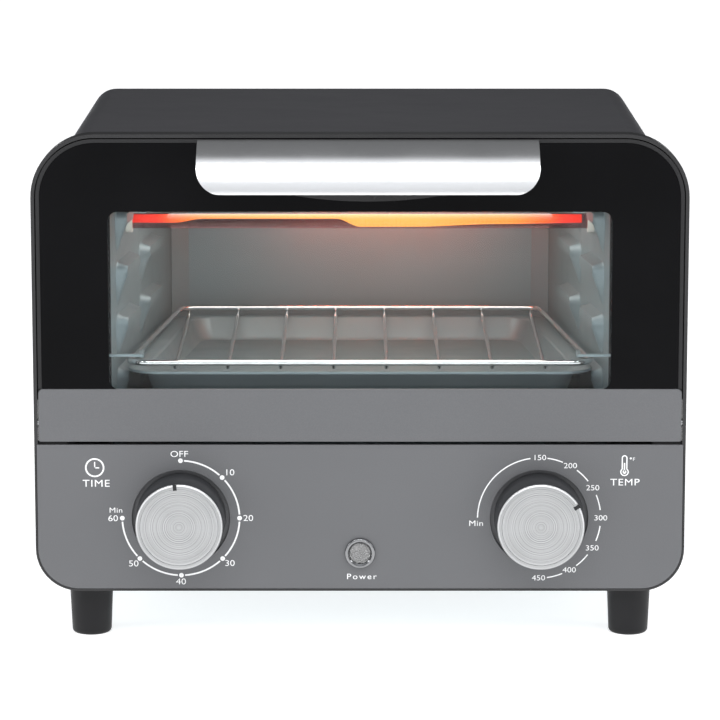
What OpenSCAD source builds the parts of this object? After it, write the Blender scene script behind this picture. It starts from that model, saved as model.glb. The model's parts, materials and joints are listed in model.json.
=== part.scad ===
/* [Front frame] */
// Width across the front frame
frame_w = 330; // [326:1:336]
// Height of the front frame, without the feet
frame_h = 234; // [232:1:238]
// Radius of the frame's top corners
frame_top_r = 32; // [26:1:36]
// Radius of the frame's bottom corners
frame_bottom_r = 22; // [18:1:26]
// Depth of the frame behind its front face
frame_t = 11.5; // [11:0.5:12.5]

/* [Casing] */
// Depth from the front face to the rear edge of the casing
body_d = 235; // [235:1:250]
// Width of the casing behind the frame
casing_w = 299; // [298:1:304]
// Radius of the casing's top corners
casing_r = 13; // [12:1:24]
// Height of the feet
foot_h = 25; // [20:1:30]

/* [Door] */
// Height of the aluminium rail along the door's bottom
rail_h = 27.2; // [27:0.2:29]
// Width of the window
window_w = 253; // [246:1:254]
// Height of the window
window_h = 90.6; // [86:0.2:91]
// Width of the handle
handle_w = 170; // [150:2:190]
// How far the handle stands out from the door
handle_reach = 28; // [24:1:32]
// Sideways offset of the handle from the middle
handle_x = 4; // [0:0.5:6]

/* [Controls] */
// Height of the control panel
panel_h = 76; // [74:0.5:77]
// Distance of each knob from the middle
knob_x = 91; // [86:1:95]
// Diameter of the knobs
knob_d = 44.6; // [40:0.2:46]
// How far the knobs stand out from the panel
knob_reach = 22; // [18:1:26]
// Where the timer knob points at rest, in degrees clockwise from the top
timer_pointer = -5.5; // [-6:0.5:0]
// Where the temperature knob points at rest, in degrees clockwise from the top
temp_pointer = 60; // [0:1:90]

/* [Cooking space] */
// Half width of the cavity at its mouth
mouth_half = 126; // [124:1:128]
// Half width of the cavity at its back wall
back_half = 104; // [102:1:108]
// Diameter of the heating rods
rod_d = 8; // [6:0.5:9]
// Spacing of the rack's bars
bar_pitch = 26.9; // [24:0.1:27]

/* [Hidden] */
$fn = 64;

// Depths are counted backwards from the front face, which lies at front_y.
front_y = -(body_d - handle_reach) / 2;
sheet = 0.8;                 // thickness of the steel sheets
cut = 1;                     // how far a cutter runs past the face that it opens

// Heights above the surface the oven stands on
frame_top = foot_h + frame_h;
panel_top = foot_h + panel_h;
rail_z = panel_top + 1.6;
rail_top = rail_z + rail_h;
hinge_z = rail_z + 9;
floor_z = rail_z + 0.4;
roof_z = frame_top - 29;
knob_z = foot_h + 38;
lamp_z = foot_h + 19.8;
window_z = rail_top - 0.4;    // the rail covers the lower edge of the window

// Front frame and door layers
lip = 1.8;                   // wall of the frame around the door
panel_lip = 1;               // wall of the frame around the control panel
door_gap = 0.6;              // clearance between door and frame
bay_t = 9;                   // depth of the bay that the door closes into
door_t = 8.5;                // thickness of the door
skin_t = 1.6;                // thickness of the fascia and the rail
panel_t = 3;                 // thickness of the control panel
hinge_t = 4.5;               // depth of the hinge axis
pin_r = 2;                   // radius of the hinge pins
sill_top = hinge_z + 11;     // top of the slot that the door's lower edge swings through
border = 2.1;                // width of the door frame's edge around the fascia
mouth_r = 8;

// Cooking space
wall_t0 = frame_t;
wall_t1 = 205;
taper = atan((mouth_half - back_half) / (wall_t1 - wall_t0));
sill_back = 16;              // everything low down starts behind the swinging door edge
rod_depths = [60, 150];
upper_rod_z = roof_z - 23;
lower_rod_z = floor_z + 9;
tray_rim_z = floor_z + 32.5;
tray_base_z = tray_rim_z - 13;
rack_z = tray_rim_z + 5;
rib_h = 7;
rib_out = 7;
rib_fronts = [31, 99];        // depths of the ribs' front ends
rib_length = 34;
rib_leg = 13;                // how far each rib's front end turns down
rib_levels = [tray_rim_z - 0.9 - rib_h / 2, tray_rim_z + 23, tray_rim_z + 50, tray_rim_z + 77];
shelf_gap = 5;               // clearance between tray or rack and the side walls
tray_t0 = 14.5;
tray_t1 = 190;
wire_r = 1.6;
bar_r = 1.1;
rod_pin_x = 138;             // the heating rods' end pins reach this far from the middle

// Hinge arms and springs
arm_x = 144;
arm_w = 1.6;
arm_in = 42;
arm_out = 48;
arm_tail = -20;              // angle of the arm's tail behind the hinge axis
arm_mid = (arm_in + arm_out) / 2;
spring_r = 1.6;
spring_x = arm_x + 2.6;      // the springs run just outside the arms
spring_t = 120;              // depth of the springs' anchors on the base plate
spring_z = foot_h + 17;

// Controls
well_r = 24.9;               // recess around each knob
well_t = 3.2;
shaft_r = 3;
shaft_play = 0.05;
cap_t = 1.8;
screw_circle = 14;           // the controls' screws sit at this radius under the knobs

foot_x = 138;
foot_depths = [16, 208];
casing_screw_depths = [40, 220];
rear_t = body_d - 3.5;       // front face of the rear panel
gland_x = 112;
gland_z = foot_h + 27;
cord_r = 3.6;
slot_half = 96.5;            // half width of the crumb tray's slot
tray_half = 95;

// Half width of the cavity at a depth
function half_at(t) = mouth_half - (t - wall_t0) * tan(taper);

// Corner points of a plan outline that follows the tapered cavity, set in from its walls
function bay_corners(t0, t1, inset) = [
    [-half_at(t0) + inset, t0], [half_at(t0) - inset, t0],
    [half_at(t1) - inset, t1], [-half_at(t1) + inset, t1]];

function unit(v) = v / norm(v);

// Points of the arc that rounds corner p between its neighbours, anticlockwise
function corner_arc(before, p, after, r, n) = let (
    u = unit(before - p),
    v = unit(after - p),
    half = acos(u * v) / 2,
    centre = p + unit(u + v) * r / sin(half),
    first = p + u * r / tan(half) - centre,
    start = atan2(first.y, first.x),
    sweep = 180 - 2 * half)
    [for (i = [0:n]) centre + r * [cos(start + sweep * i / n), sin(start + sweep * i / n)]];

// A closed outline with each corner rounded
function rounded(points, r, n = 5) = let (count = len(points)) [for (i = [0:count - 1])
    each corner_arc(points[(i + count - 1) % count], points[i], points[(i + 1) % count], r, n)];

// Extrudes a front-view outline between two depths
module in_depth(t0, t1) {
    translate([0, front_y + t1, 0]) rotate([90, 0, 0]) linear_extrude(t1 - t0) children();
}

// Extrudes a side-view outline, depth by height, from x0 to x1
module across(x0, x1) {
    translate([x0, front_y, 0]) rotate([90, 0, 90]) linear_extrude(x1 - x0) children();
}

// Extrudes a plan outline, width by depth, between two heights
module in_height(z0, z1) {
    translate([0, front_y, z0]) linear_extrude(z1 - z0) children();
}

module block(x0, x1, t0, t1, z0, z1) {
    translate([x0, front_y + t0, z0]) cube([x1 - x0, t1 - t0, z1 - z0]);
}

// Cylinders along the depth and across the width
module rod_y(r, t0, t1, x, z) {
    translate([x, front_y + t1, z]) rotate([90, 0, 0]) cylinder(r = r, h = t1 - t0);
}

module rod_x(r, x0, x1, t, z) {
    translate([x0, front_y + t, z]) rotate([0, 90, 0]) cylinder(r = r, h = x1 - x0);
}

// A straight round bar between two points given as width, depth, height
module bar(a, b, r) {
    d = b - a;
    translate(a + [0, front_y, 0]) rotate([0, acos(d.z / norm(d)), atan2(d.y, d.x)])
        cylinder(r = r, h = norm(d));
}

// A round wire bent through points given as width, depth, height, as rings of sides points
module wire(points, r, closed = false, sides = 8) {
    n = len(points);
    function at(i) = closed ? points[(i + n) % n] : points[max(0, min(n - 1, i))];
    function ring(i) = let (
        along = unit(at(i + 1) - at(i - 1)),
        side = unit(cross(along, abs(along.z) > 0.95 ? [0, 1, 0] : [0, 0, 1])),
        up = cross(side, along))
        [for (k = [0:sides - 1]) points[i] + r * (cos(360 * k / sides) * side
            + sin(360 * k / sides) * up) + [0, front_y, 0]];
    bands = closed ? n : n - 1;
    walls = [for (i = [0:bands - 1], k = [0:sides - 1]) let (j = (i + 1) % n, m = (k + 1) % sides)
        each [[i * sides + k, i * sides + m, j * sides + m], [i * sides + k, j * sides + m, j * sides + k]]];
    caps = closed ? [] : [[for (k = [sides - 1:-1:0]) k], [for (k = [0:sides - 1]) bands * sides + k]];
    polyhedron(points = [for (i = [0:n - 1]) each ring(i)], faces = concat(walls, caps));
}

module both_sides() {
    children();
    mirror([1, 0, 0]) children();
}

// Rectangle standing on the origin with rounded top and bottom corners
module rounded_outline(w, h, rt, rb) {
    translate([-w / 2, rb]) square([w, h - rt - rb]);
    translate([-w / 2 + rt, h - rt]) square([w - 2 * rt, rt]);
    translate([-w / 2 + rb, 0]) square([w - 2 * rb, rb]);
    for (s = [-1, 1]) {
        translate([s * (w / 2 - rt), h - rt]) circle(rt);
        translate([s * (w / 2 - rb), rb]) circle(rb);
    }
}

// Outline with square feet and rounded top corners
module arch_outline(w, h, r) {
    translate([-w / 2, 0]) square([w, h - r]);
    translate([-w / 2 + r, 0]) square([w - 2 * r, h]);
    for (s = [-1, 1]) translate([s * (w / 2 - r), h - r]) circle(r);
}

module frame_outline(inset) {
    translate([0, foot_h + inset])
        rounded_outline(frame_w - 2 * inset, frame_h - 2 * inset,
            frame_top_r - inset, frame_bottom_r - inset);
}

module band_outline(z0, z1) {
    translate([-frame_w, z0]) square([2 * frame_w, z1 - z0]);
}

module window_outline(grow, r) {
    translate([0, window_z - grow])
        rounded_outline(window_w + 2 * grow, window_h + 2 * grow, r, r);
}

module casing_outline(inset, below = 0) {
    translate([0, foot_h + 1 - below])
        arch_outline(casing_w - 2 * inset, frame_h - 3 - inset + below, casing_r - inset);
}

// ---- Body -------------------------------------------------------------------------

module front_frame() {
    color("#3a3b3f") difference() {
        in_depth(0, frame_t) frame_outline(0);
        in_depth(-cut, bay_t) intersection() {
            frame_outline(lip);
            band_outline(panel_top, frame_top);
        }
        in_depth(-cut, panel_t) intersection() {
            frame_outline(panel_lip);
            band_outline(foot_h, panel_top + 0.01);
        }
        in_depth(bay_t - cut, frame_t + cut)
            translate([0, sill_top])
                rounded_outline(2 * mouth_half, roof_z - sill_top, mouth_r, 0.5);
        block(-frame_w / 2 + lip, frame_w / 2 - lip, -cut, frame_t + cut, panel_top, sill_top);
        block(-frame_w / 2 + 15, frame_w / 2 - 15, -cut, frame_t + cut, foot_h + 8, panel_top - 4);
        both_sides() {
            rod_x(pin_r + 0.03, frame_w / 2 - 2 * lip, frame_w / 2 + cut, hinge_t, hinge_z);
            block(arm_x - 2, arm_x + 2, bay_t - cut, frame_t + cut,
                hinge_z + arm_in - 3, hinge_z + arm_out + 3);
        }
    }
}

module outer_casing() {
    color("#46454a") difference() {
        union() {
            in_depth(frame_t, body_d) difference() {
                casing_outline(0);
                casing_outline(1, cut);
            }
            in_depth(rear_t - 2, rear_t) difference() {
                casing_outline(0.5);
                casing_outline(11, cut);
            }
        }
        both_sides() {
            for (column = [0:1], row = [0:7])
                block(casing_w / 2 - 2, casing_w / 2 + cut, 128 + column * 38, 156 + column * 38,
                    foot_h + 118 + row * 9, foot_h + 121 + row * 9);
            for (t = casing_screw_depths)
                rod_x(1.9, casing_w / 2 - 2, casing_w / 2 + cut, t, foot_h + 8);
            block(casing_w / 2 - 3, casing_w / 2 + cut, frame_t - cut, sill_back, panel_top, sill_top);
        }
        for (p = rear_screw_points()) rod_y(1.9, rear_t - 3, rear_t + cut, p.x, p.y);
    }
}

function rear_screw_points() = [for (s = [-1, 1], z = [foot_h + 14, foot_h + 110, foot_h + 205])
    [s * (casing_w / 2 - 7), z]];

module rear_panel() {
    color("#3c3c3f") difference() {
        in_depth(rear_t, rear_t + 1.2) casing_outline(1.3);
        for (row = [0:4], column = [-5:5])
            block(column * 22 - 8, column * 22 + 8, rear_t - cut, rear_t + 3,
                foot_h + 118 + row * 18, foot_h + 121.5 + row * 18);
        for (column = [-4:1])
            block(column * 20 - 7, column * 20 + 7, rear_t - cut, rear_t + 3,
                foot_h + 30, foot_h + 34);
        block(-slot_half, slot_half, rear_t - cut, rear_t + 3, floor_z - 0.2, floor_z + 5);
        rod_y(6.1, rear_t - cut, rear_t + 3, gland_x, gland_z);
        for (p = rear_screw_points()) rod_y(1.75, rear_t - cut, rear_t + 3, p.x, p.y);
    }
}

module base_plate() {
    half = casing_w / 2 - 1.2;
    color("#9a9c9f") difference() {
        union() {
            block(-half, half, frame_t, rear_t - 2, foot_h, foot_h + 1);
            both_sides() {
                block(half - 1, half, frame_t, rear_t - 2, foot_h, foot_h + 14);
                block(arm_x - 0.6, arm_x + 0.6, spring_t - 3, spring_t + 8, foot_h, spring_z + 3);
            }
        }
        for (row = [0:5], column = [-3:3])
            block(column * 32 - 11, column * 32 + 11, 70 + row * 20, 74 + row * 20,
                foot_h - cut, foot_h + 2);
        both_sides() {
            for (t = foot_depths) translate([foot_x, front_y + t, foot_h - cut]) cylinder(r = 2.05, h = 4);
            for (t = casing_screw_depths) rod_x(1.75, half - 2, half + cut, t, foot_h + 8);
            rod_x(1.2, arm_x - 2, arm_x + 2, spring_t, spring_z);
        }
    }
}

// Foot standing on the origin, with a recess for its screw
module foot(x, t) {
    top_r = 11.1;
    base_r = 10.1;
    edge_r = 2;
    color("#2b2b2d") translate([x, front_y + t, 0]) difference() {
        rotate_extrude() polygon(concat(
            [[0, 0]],
            [for (a = [-90:15:0]) [base_r - edge_r + edge_r * cos(a), edge_r + edge_r * sin(a)]],
            [[top_r, foot_h], [0, foot_h]]));
        translate([0, 0, -cut]) cylinder(r = 4.2, h = foot_h - 7 + cut);
        translate([0, 0, -cut]) cylinder(r = 2.1, h = foot_h + 2 * cut);
    }
}

module foot_front_left() foot(-foot_x, foot_depths[0]);
module foot_front_right() foot(foot_x, foot_depths[0]);
module foot_rear_left() foot(-foot_x, foot_depths[1]);
module foot_rear_right() foot(foot_x, foot_depths[1]);

module foot_screws() {
    color("#b8b8ba") both_sides() for (t = foot_depths) translate([foot_x, front_y + t, 0]) {
        translate([0, 0, foot_h - 10]) cylinder(r = 3.7, h = 3);
        translate([0, 0, foot_h - 8]) cylinder(r = 2, h = 14);
    }
}

module casing_screws() {
    color("#b8b8ba") both_sides() for (t = casing_screw_depths) {
        rod_x(3.2, casing_w / 2, casing_w / 2 + 1.6, t, foot_h + 8);
        rod_x(1.7, casing_w / 2 - 6, casing_w / 2 + 1, t, foot_h + 8);
    }
}

module rear_panel_screws() {
    color("#b8b8ba") for (p = rear_screw_points()) {
        rod_y(3.2, rear_t + 1.2, rear_t + 2.8, p.x, p.y);
        rod_y(1.7, rear_t - 6, rear_t + 2, p.x, p.y);
    }
}

// ---- Controls ---------------------------------------------------------------------

module control_panel() {
    color("#77787c") difference() {
        union() {
            in_depth(0, panel_t - 0.2) intersection() {
                frame_outline(panel_lip + 0.2);
                band_outline(foot_h, panel_top);
            }
            for (s = [-1, 1]) rod_y(well_r + 1.6, 1, well_t + 1.8, s * knob_x, knob_z);
        }
        for (s = [-1, 1]) {
            rod_y(well_r, -cut, well_t, s * knob_x, knob_z);
            rod_y(5, -cut, well_t + 3, s * knob_x, knob_z);
            for (side = [-1, 1])
                rod_y(1.6, -cut, well_t + 3, s * knob_x + side * screw_circle, knob_z);
        }
        rod_y(6.05, -cut, panel_t + cut, 0, lamp_z);
    }
}

module control_screws() {
    color("#b8b8ba") for (s = [-1, 1], side = [-1, 1]) {
        rod_y(2.8, well_t - 1.5, well_t, s * knob_x + side * screw_circle, knob_z);
        rod_y(1.5, well_t - 1, 16, s * knob_x + side * screw_circle, knob_z);
    }
}

// A control's housing with its collar and the bore that its shaft turns in
module control_housing(x, w, h, depth) {
    difference() {
        union() {
            block(x - w / 2, x + w / 2, well_t + 2.2, well_t + 2.2 + depth, knob_z - h / 2, knob_z + h / 2);
            rod_y(4.8, well_t, well_t + 4, x, knob_z);
        }
        rod_y(shaft_r + shaft_play, -cut, 20.5, x, knob_z);
        for (side = [-1, 1]) rod_y(1.55, -cut, 17, x + side * screw_circle, knob_z);
    }
}

module timer_body() {
    color("#c9c9c4") {
        control_housing(-knob_x, 46, 44, 36);
        block(-knob_x + 23, -knob_x + 29, 22, 34, knob_z - 8, knob_z - 4);
        block(-knob_x + 23, -knob_x + 29, 22, 34, knob_z + 4, knob_z + 8);
    }
}

// Striker bell of the timer, a hollow dome on a post
module timer_bell() {
    dome_r = 19;
    bell_t = well_t + 2.2 + 36;
    color("#c8b98a") translate([-knob_x, front_y + bell_t, knob_z]) rotate([-90, 0, 0]) {
        cylinder(r = 3, h = 12);
        translate([0, 0, 4]) difference() {
            intersection() {
                sphere(dome_r);
                translate([-dome_r, -dome_r, 0]) cube([2 * dome_r, 2 * dome_r, 10]);
            }
            translate([0, 0, -1.2]) intersection() {
                sphere(dome_r - 1);
                translate([-dome_r, -dome_r, -cut]) cube([2 * dome_r, 2 * dome_r, 10]);
            }
        }
    }
}

module thermostat_body() {
    color("#e3ddcf") {
        control_housing(knob_x, 38, 26, 22);
        block(knob_x - 25, knob_x - 19, 14, 24, knob_z - 3, knob_z + 1);
        block(knob_x + 19, knob_x + 25, 14, 24, knob_z - 3, knob_z + 1);
    }
}

module thermostat_blade() {
    color("#b9a377") {
        block(knob_x - 5, knob_x + 5, 18, 19, knob_z + 13, floor_z - 3);
        block(knob_x - 5, knob_x + 5, 18, 34, floor_z - 3, floor_z - 2);
    }
}

module pilot_lamp_bezel() {
    color("#d8d9db") difference() {
        union() {
            translate([0, front_y, lamp_z]) rotate([90, 0, 0]) cylinder(r1 = 7.8, r2 = 6.6, h = 1.8);
            rod_y(5.95, -0.5, 13, 0, lamp_z);
        }
        rod_y(5.3, -3, 14, 0, lamp_z);
    }
}

module pilot_lamp_lens() {
    color("#e8e2da") translate([0, front_y, lamp_z]) rotate([90, 0, 0]) {
        translate([0, 0, -6]) cylinder(r = 5.25, h = 7.6);
        intersection() {
            translate([0, 0, 1.6 - 9.8]) sphere(11.1);
            translate([0, 0, 1.5]) cylinder(r = 5.25, h = 3);
        }
    }
}

module pilot_lamp_bulb() {
    color("#e8a06a") {
        rod_y(2.6, 7, 16, 0, lamp_z);
        rod_y(4.8, 14, 18, 0, lamp_z);
    }
}

// Plain knob on its shaft's axis, hollow at the back, facing forwards
module knob_shell(x) {
    r = knob_d / 2;
    color("#6f7074") translate([x, front_y, knob_z]) rotate([90, 0, 0]) rotate_extrude() polygon([
        [shaft_r + 0.03, -2.6], [8, -2.6], [8, knob_reach - 7], [r - 3, knob_reach - 7],
        [r - 2, -2.6], [r + 0.5, -2.6], [r, knob_reach - cap_t], [shaft_r + 0.03, knob_reach - cap_t]]);
}

// Spun metal face with a chamfered rim and the pointer slot
module knob_face(x, pointer) {
    r = knob_d / 2;
    color("#c6c8ca") translate([x, front_y, knob_z]) rotate([0, pointer, 0]) difference() {
        rotate([90, 0, 0]) translate([0, 0, knob_reach - cap_t]) {
            cylinder(r = r - 0.3, h = 0.4);
            translate([0, 0, 0.4]) cylinder(r1 = r - 0.3, r2 = r - 2.4, h = cap_t - 0.4);
        }
        translate([-0.8, -knob_reach - cut, r - 6]) cube([1.6, 0.8 + cut, 8]);
    }
}

module knob_shaft(x) {
    color("#a9abad") difference() {
        rod_y(shaft_r, -knob_reach + cap_t + 0.2, 20, x, knob_z);
        block(x - 4, x + 4, -knob_reach, -1, knob_z + 2.2, knob_z + 4);
    }
}

module timer_knob() knob_shell(-knob_x);
module timer_knob_cap() knob_face(-knob_x, timer_pointer);
module timer_shaft() knob_shaft(-knob_x);
module temp_knob() knob_shell(knob_x);
module temp_knob_cap() knob_face(knob_x, temp_pointer);
module temp_shaft() knob_shaft(knob_x);

// ---- Wiring -----------------------------------------------------------------------

module terminal_block() {
    color("#dcd8cc") difference() {
        block(64, 104, 196, 214, foot_h + 1, foot_h + 19);
        for (i = [0:2]) rod_y(2, 190, 220, 71 + i * 13, foot_h + 12);
    }
}

module thermal_fuse() {
    color("#cfcfd0") {
        rod_x(2, -7, 7, 120, floor_z - sheet - 2.6);
        block(-2, 2, 117.5, 122.5, floor_z - sheet - 5, floor_z - sheet);
    }
}

// Sleeved leads between the terminal block, timer, thermostat, lamp and heating rods
module internal_leads() {
    block_z = foot_h + 12;
    side_x = 141.5;
    pin_x = rod_pin_x + 0.1;
    terminal_z = knob_z - 1;
    routes = [
        [[71, 198, block_z], [71, 192, block_z], [60, 180, foot_h + 6], [-40, 60, foot_h + 6],
            [-48, 40, foot_h + 20], [-54, 28, knob_z - 6], [-61.9, 28, knob_z - 6]],
        [[-61.9, 28, knob_z + 6], [-54, 28, knob_z + 6], [-46, 30, knob_z + 16],
            [50, 30, knob_z + 16], [58, 19, terminal_z], [65.9, 19, terminal_z]],
        [[116.1, 19, terminal_z], [124, 19, terminal_z], [130, 30, knob_z + 10],
            [side_x, 60, lower_rod_z - 12], [side_x, 60, lower_rod_z], [pin_x, 60, lower_rod_z]],
        [[84, 198, block_z], [84, 192, block_z], [100, 160, foot_h + 8], [side_x - 4, 150, foot_h + 40],
            [side_x, 150, lower_rod_z - 8], [side_x, 150, lower_rod_z], [pin_x, 150, lower_rod_z]],
        [[-pin_x, 60, upper_rod_z], [-side_x, 60, upper_rod_z], [-side_x, 90, upper_rod_z - 40],
            [-side_x, 60, lower_rod_z + 20], [-side_x, 60, lower_rod_z], [-pin_x, 60, lower_rod_z]],
        [[pin_x, 150, upper_rod_z], [side_x, 150, upper_rod_z], [side_x, 170, upper_rod_z - 40],
            [side_x, 150, lower_rod_z + 20], [side_x, 150, lower_rod_z + 8],
            [pin_x + 2.4, 150, lower_rod_z + 3]],
        [[69, 19, terminal_z - 2.1], [69, 19, terminal_z - 8], [30, 26, lamp_z + 6],
            [0, 26, lamp_z], [0, 18.1, lamp_z]]];
    color("#e9e4d8") for (route = routes) wire(route, 1.1);
}

// Strain relief bush that the supply cord passes through
module cord_gland() {
    color("#1f1f21") difference() {
        union() {
            rod_y(6, rear_t - 8, rear_t + 3.4, gland_x, gland_z);
            rod_y(8.5, rear_t + 1.2, rear_t + 3.4, gland_x, gland_z);
            rod_y(7.4, rear_t - 2.2, rear_t, gland_x, gland_z);
        }
        rod_y(cord_r, rear_t - 9, rear_t + 5, gland_x, gland_z);
    }
}

// ---- Cooking space ----------------------------------------------------------------

// Raised shelf rib on the right wall, whose front end turns down into a leg
module wall_rib(front, length, z) {
    t = front + length / 2;
    translate([half_at(t) + 0.5, front_y + t, z]) rotate([0, 0, taper]) rotate([0, -90, 0]) {
        translate([-rib_h / 2, -length / 2, 0]) cube([rib_h, length, rib_out]);
        for (s = [-1, 1]) translate([0, s * length / 2, 0]) cylinder(r = rib_h / 2, h = rib_out);
        translate([-rib_leg, -(length + rib_h) / 2, 0]) cube([rib_leg, rib_h, rib_out - 2]);
        translate([-rib_leg, -length / 2, 0]) cylinder(r = rib_h / 2, h = rib_out - 2);
    }
}

module side_wall() {
    top = rib_levels[3];
    difference() {
        union() {
            in_height(floor_z - sheet, roof_z) polygon([
                [half_at(wall_t0), wall_t0], [half_at(wall_t0) + sheet, wall_t0],
                [half_at(wall_t1) + sheet, wall_t1], [half_at(wall_t1), wall_t1]]);
            block(mouth_half, mouth_half + 12, frame_t, frame_t + sheet, sill_top, roof_z);
            for (front = rib_fronts, z = rib_levels)
                wall_rib(front, z == top ? rib_length - 19 : rib_length, z);
        }
        block(0, frame_w / 2, 0, sill_back, 0, sill_top);
        for (t = rod_depths, z = [upper_rod_z, lower_rod_z]) rod_x(6.1, 80, 140, t, z);
    }
}

module cavity_right_panel() color("#93a0a6") side_wall();
module cavity_left_panel() color("#93a0a6") mirror([1, 0, 0]) side_wall();

module cavity_back_panel() {
    corner = 8.5;
    half = half_at(wall_t1) - 0.1;
    edge = half_at(wall_t1 - corner + 1.2) - 0.1;
    color("#8c989d") in_height(floor_z + 6, roof_z) polygon([
        [-edge, wall_t1 - corner], [-half + corner, wall_t1 - sheet], [half - corner, wall_t1 - sheet],
        [edge, wall_t1 - corner], [edge, wall_t1 - corner + 1.2], [half - corner + 0.4, wall_t1],
        [-half + corner - 0.4, wall_t1], [-edge, wall_t1 - corner + 1.2]]);
}

module cavity_roof() {
    color("#8c989d") in_height(roof_z, roof_z + sheet)
        polygon(bay_corners(wall_t0, wall_t1, -sheet));
}

module cavity_floor() {
    color("#8c989d") in_height(floor_z - sheet, floor_z)
        polygon(bay_corners(sill_back, wall_t1, 0.1));
}

module heating_rods(z) {
    color("#d08a5a") for (t = rod_depths) {
        rod_x(rod_d / 2, -half_at(t) - 10, half_at(t) + 10, t, z);
        rod_x(1.5, -rod_pin_x, rod_pin_x, t, z);
    }
}

module upper_heating_elements() heating_rods(upper_rod_z);
module lower_heating_elements() heating_rods(lower_rod_z);

// Flanged ceramic bush around each end of each heating rod
module ceramic_insulators() {
    color("#efece4") both_sides() for (t = rod_depths, z = [upper_rod_z, lower_rod_z]) difference() {
        union() {
            rod_x(6, half_at(t) - 3, half_at(t) + 9, t, z);
            rod_x(7.6, half_at(t) + 2, half_at(t) + 5, t, z);
        }
        rod_x(rod_d / 2 + 0.05, half_at(t) - 4, half_at(t) + 12, t, z);
    }
}

module wire_rack() {
    inset = shelf_gap + wire_r + 0.6;
    ring = rounded(bay_corners(tray_t0 + 0.5, tray_t1 - 4, inset), 9, 4);
    bar_z = rack_z - wire_r - bar_r + 0.15;
    color("#c3c6c8") {
        wire([for (p = ring) [p.x, p.y, rack_z]], wire_r, closed = true);
        for (i = [-3.5:3.5])
            rod_y(bar_r, tray_t0 + 0.6, tray_t1 - 4.6, i * bar_pitch, bar_z);
    }
}

module baking_tray() {
    rim = bay_corners(tray_t0, tray_t1, shelf_gap);
    mouth = bay_corners(tray_t0 + 5, tray_t1 - 5, shelf_gap + 9);
    base = bay_corners(tray_t0 + 10, tray_t1 - 10, shelf_gap + 14);
    color("#7d8b92") difference() {
        union() {
            in_height(tray_rim_z - 0.4, tray_rim_z + 0.5) polygon(rounded(rim, 16));
            hull() {
                in_height(tray_rim_z - 0.5, tray_rim_z) polygon(rounded(mouth, 13));
                in_height(tray_base_z, tray_base_z + 0.1) polygon(rounded(base, 10));
            }
        }
        hull() {
            in_height(tray_rim_z + 0.5, tray_rim_z + 0.6) offset(-sheet) polygon(rounded(mouth, 13));
            in_height(tray_base_z + sheet, tray_base_z + sheet + 0.1)
                offset(-sheet) polygon(rounded(base, 10));
        }
    }
}

// Flat tray on the cavity floor, drawn out through the back by its flange
module crumb_tray() {
    color("#a3abaf") {
        block(-tray_half, tray_half, 20, rear_t + 1.7, floor_z + 0.3, floor_z + 1.1);
        both_sides() block(tray_half - sheet, tray_half, 20, rear_t + 1.7, floor_z + 0.3, floor_z + 3.2);
        block(-tray_half, tray_half, 20, 20 + sheet, floor_z + 0.3, floor_z + 3.2);
        block(-slot_half - 3, slot_half + 3, rear_t + 1.5, rear_t + 3, floor_z - 2, floor_z + 11);
    }
}

// ---- Door -------------------------------------------------------------------------

module door_outline(inset) {
    intersection() {
        frame_outline(lip + door_gap + inset);
        band_outline(rail_z, frame_top);
    }
}

function handle_screw_x() = [handle_x - handle_w / 2 + 22, handle_x + handle_w / 2 - 22];
handle_top = frame_top - 2.4;
handle_h = 24.6;
handle_screw_z = handle_top - 9;
plate_t = 1.4;               // thickness of the plate behind the handle

module door_frame() {
    color("#1d1d1f") difference() {
        in_depth(0.3, door_t) door_outline(0);
        in_depth(-cut, skin_t) intersection() {
            door_outline(border - 0.2);
            band_outline(rail_top, frame_top);
        }
        block(-frame_w / 2, frame_w / 2, -cut, skin_t, rail_z - cut, rail_top + 0.01);
        in_depth(-cut, door_t + cut) window_outline(5.2, 6);
        both_sides() {
            rod_x(pin_r + 0.06, frame_w / 2 - 15.5, frame_w / 2 + cut, hinge_t, hinge_z);
            block(arm_x - 8.1, arm_x + 3.1, door_t - 1.3, door_t + cut,
                hinge_z + arm_mid - 10.1, hinge_z + arm_mid + 10.1);
        }
        for (x = handle_screw_x()) {
            rod_y(1.85, -cut, door_t + cut, x, handle_screw_z);
            rod_y(3.7, door_t - 2.6, door_t + cut, x, handle_screw_z);
        }
    }
}

module door_fascia() {
    color("#131315") difference() {
        in_depth(0, skin_t) intersection() {
            door_outline(border);
            band_outline(rail_top, frame_top);
        }
        in_depth(-cut, skin_t + cut) window_outline(0, 5);
        for (x = handle_screw_x()) rod_y(1.85, -cut, skin_t + cut, x, handle_screw_z);
    }
}

module door_glass() {
    color("#cfd8da", 0.35) in_depth(skin_t + 0.1, skin_t + 3.3) window_outline(5, 5.8);
}

module glass_retainer() {
    color("#8d9194") in_depth(skin_t + 3.4, skin_t + 4.6) difference() {
        window_outline(5, 5.8);
        window_outline(1, 5);
    }
}

module door_lower_rail() {
    rail_w = frame_w - 2 * (lip + door_gap);
    color("#707174") in_depth(-0.3, skin_t) translate([0, rail_z])
        rounded_outline(rail_w, rail_h, 2.5, 1);
}

// Hood profile as depth and height: a quarter ellipse of thickness wall, hanging from its top
module hood_profile(wall) {
    reach = handle_reach - plate_t;
    steps = 18;
    function arc(a, rx, rz) = [-plate_t - rx * sin(a), handle_top - handle_h + rz * cos(a)];
    polygon(concat(
        [for (i = [0:steps]) arc(90 * i / steps, reach, handle_h)],
        [for (i = [steps:-1:0]) arc(90 * i / steps, reach - wall, handle_h - wall)]));
}

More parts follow.
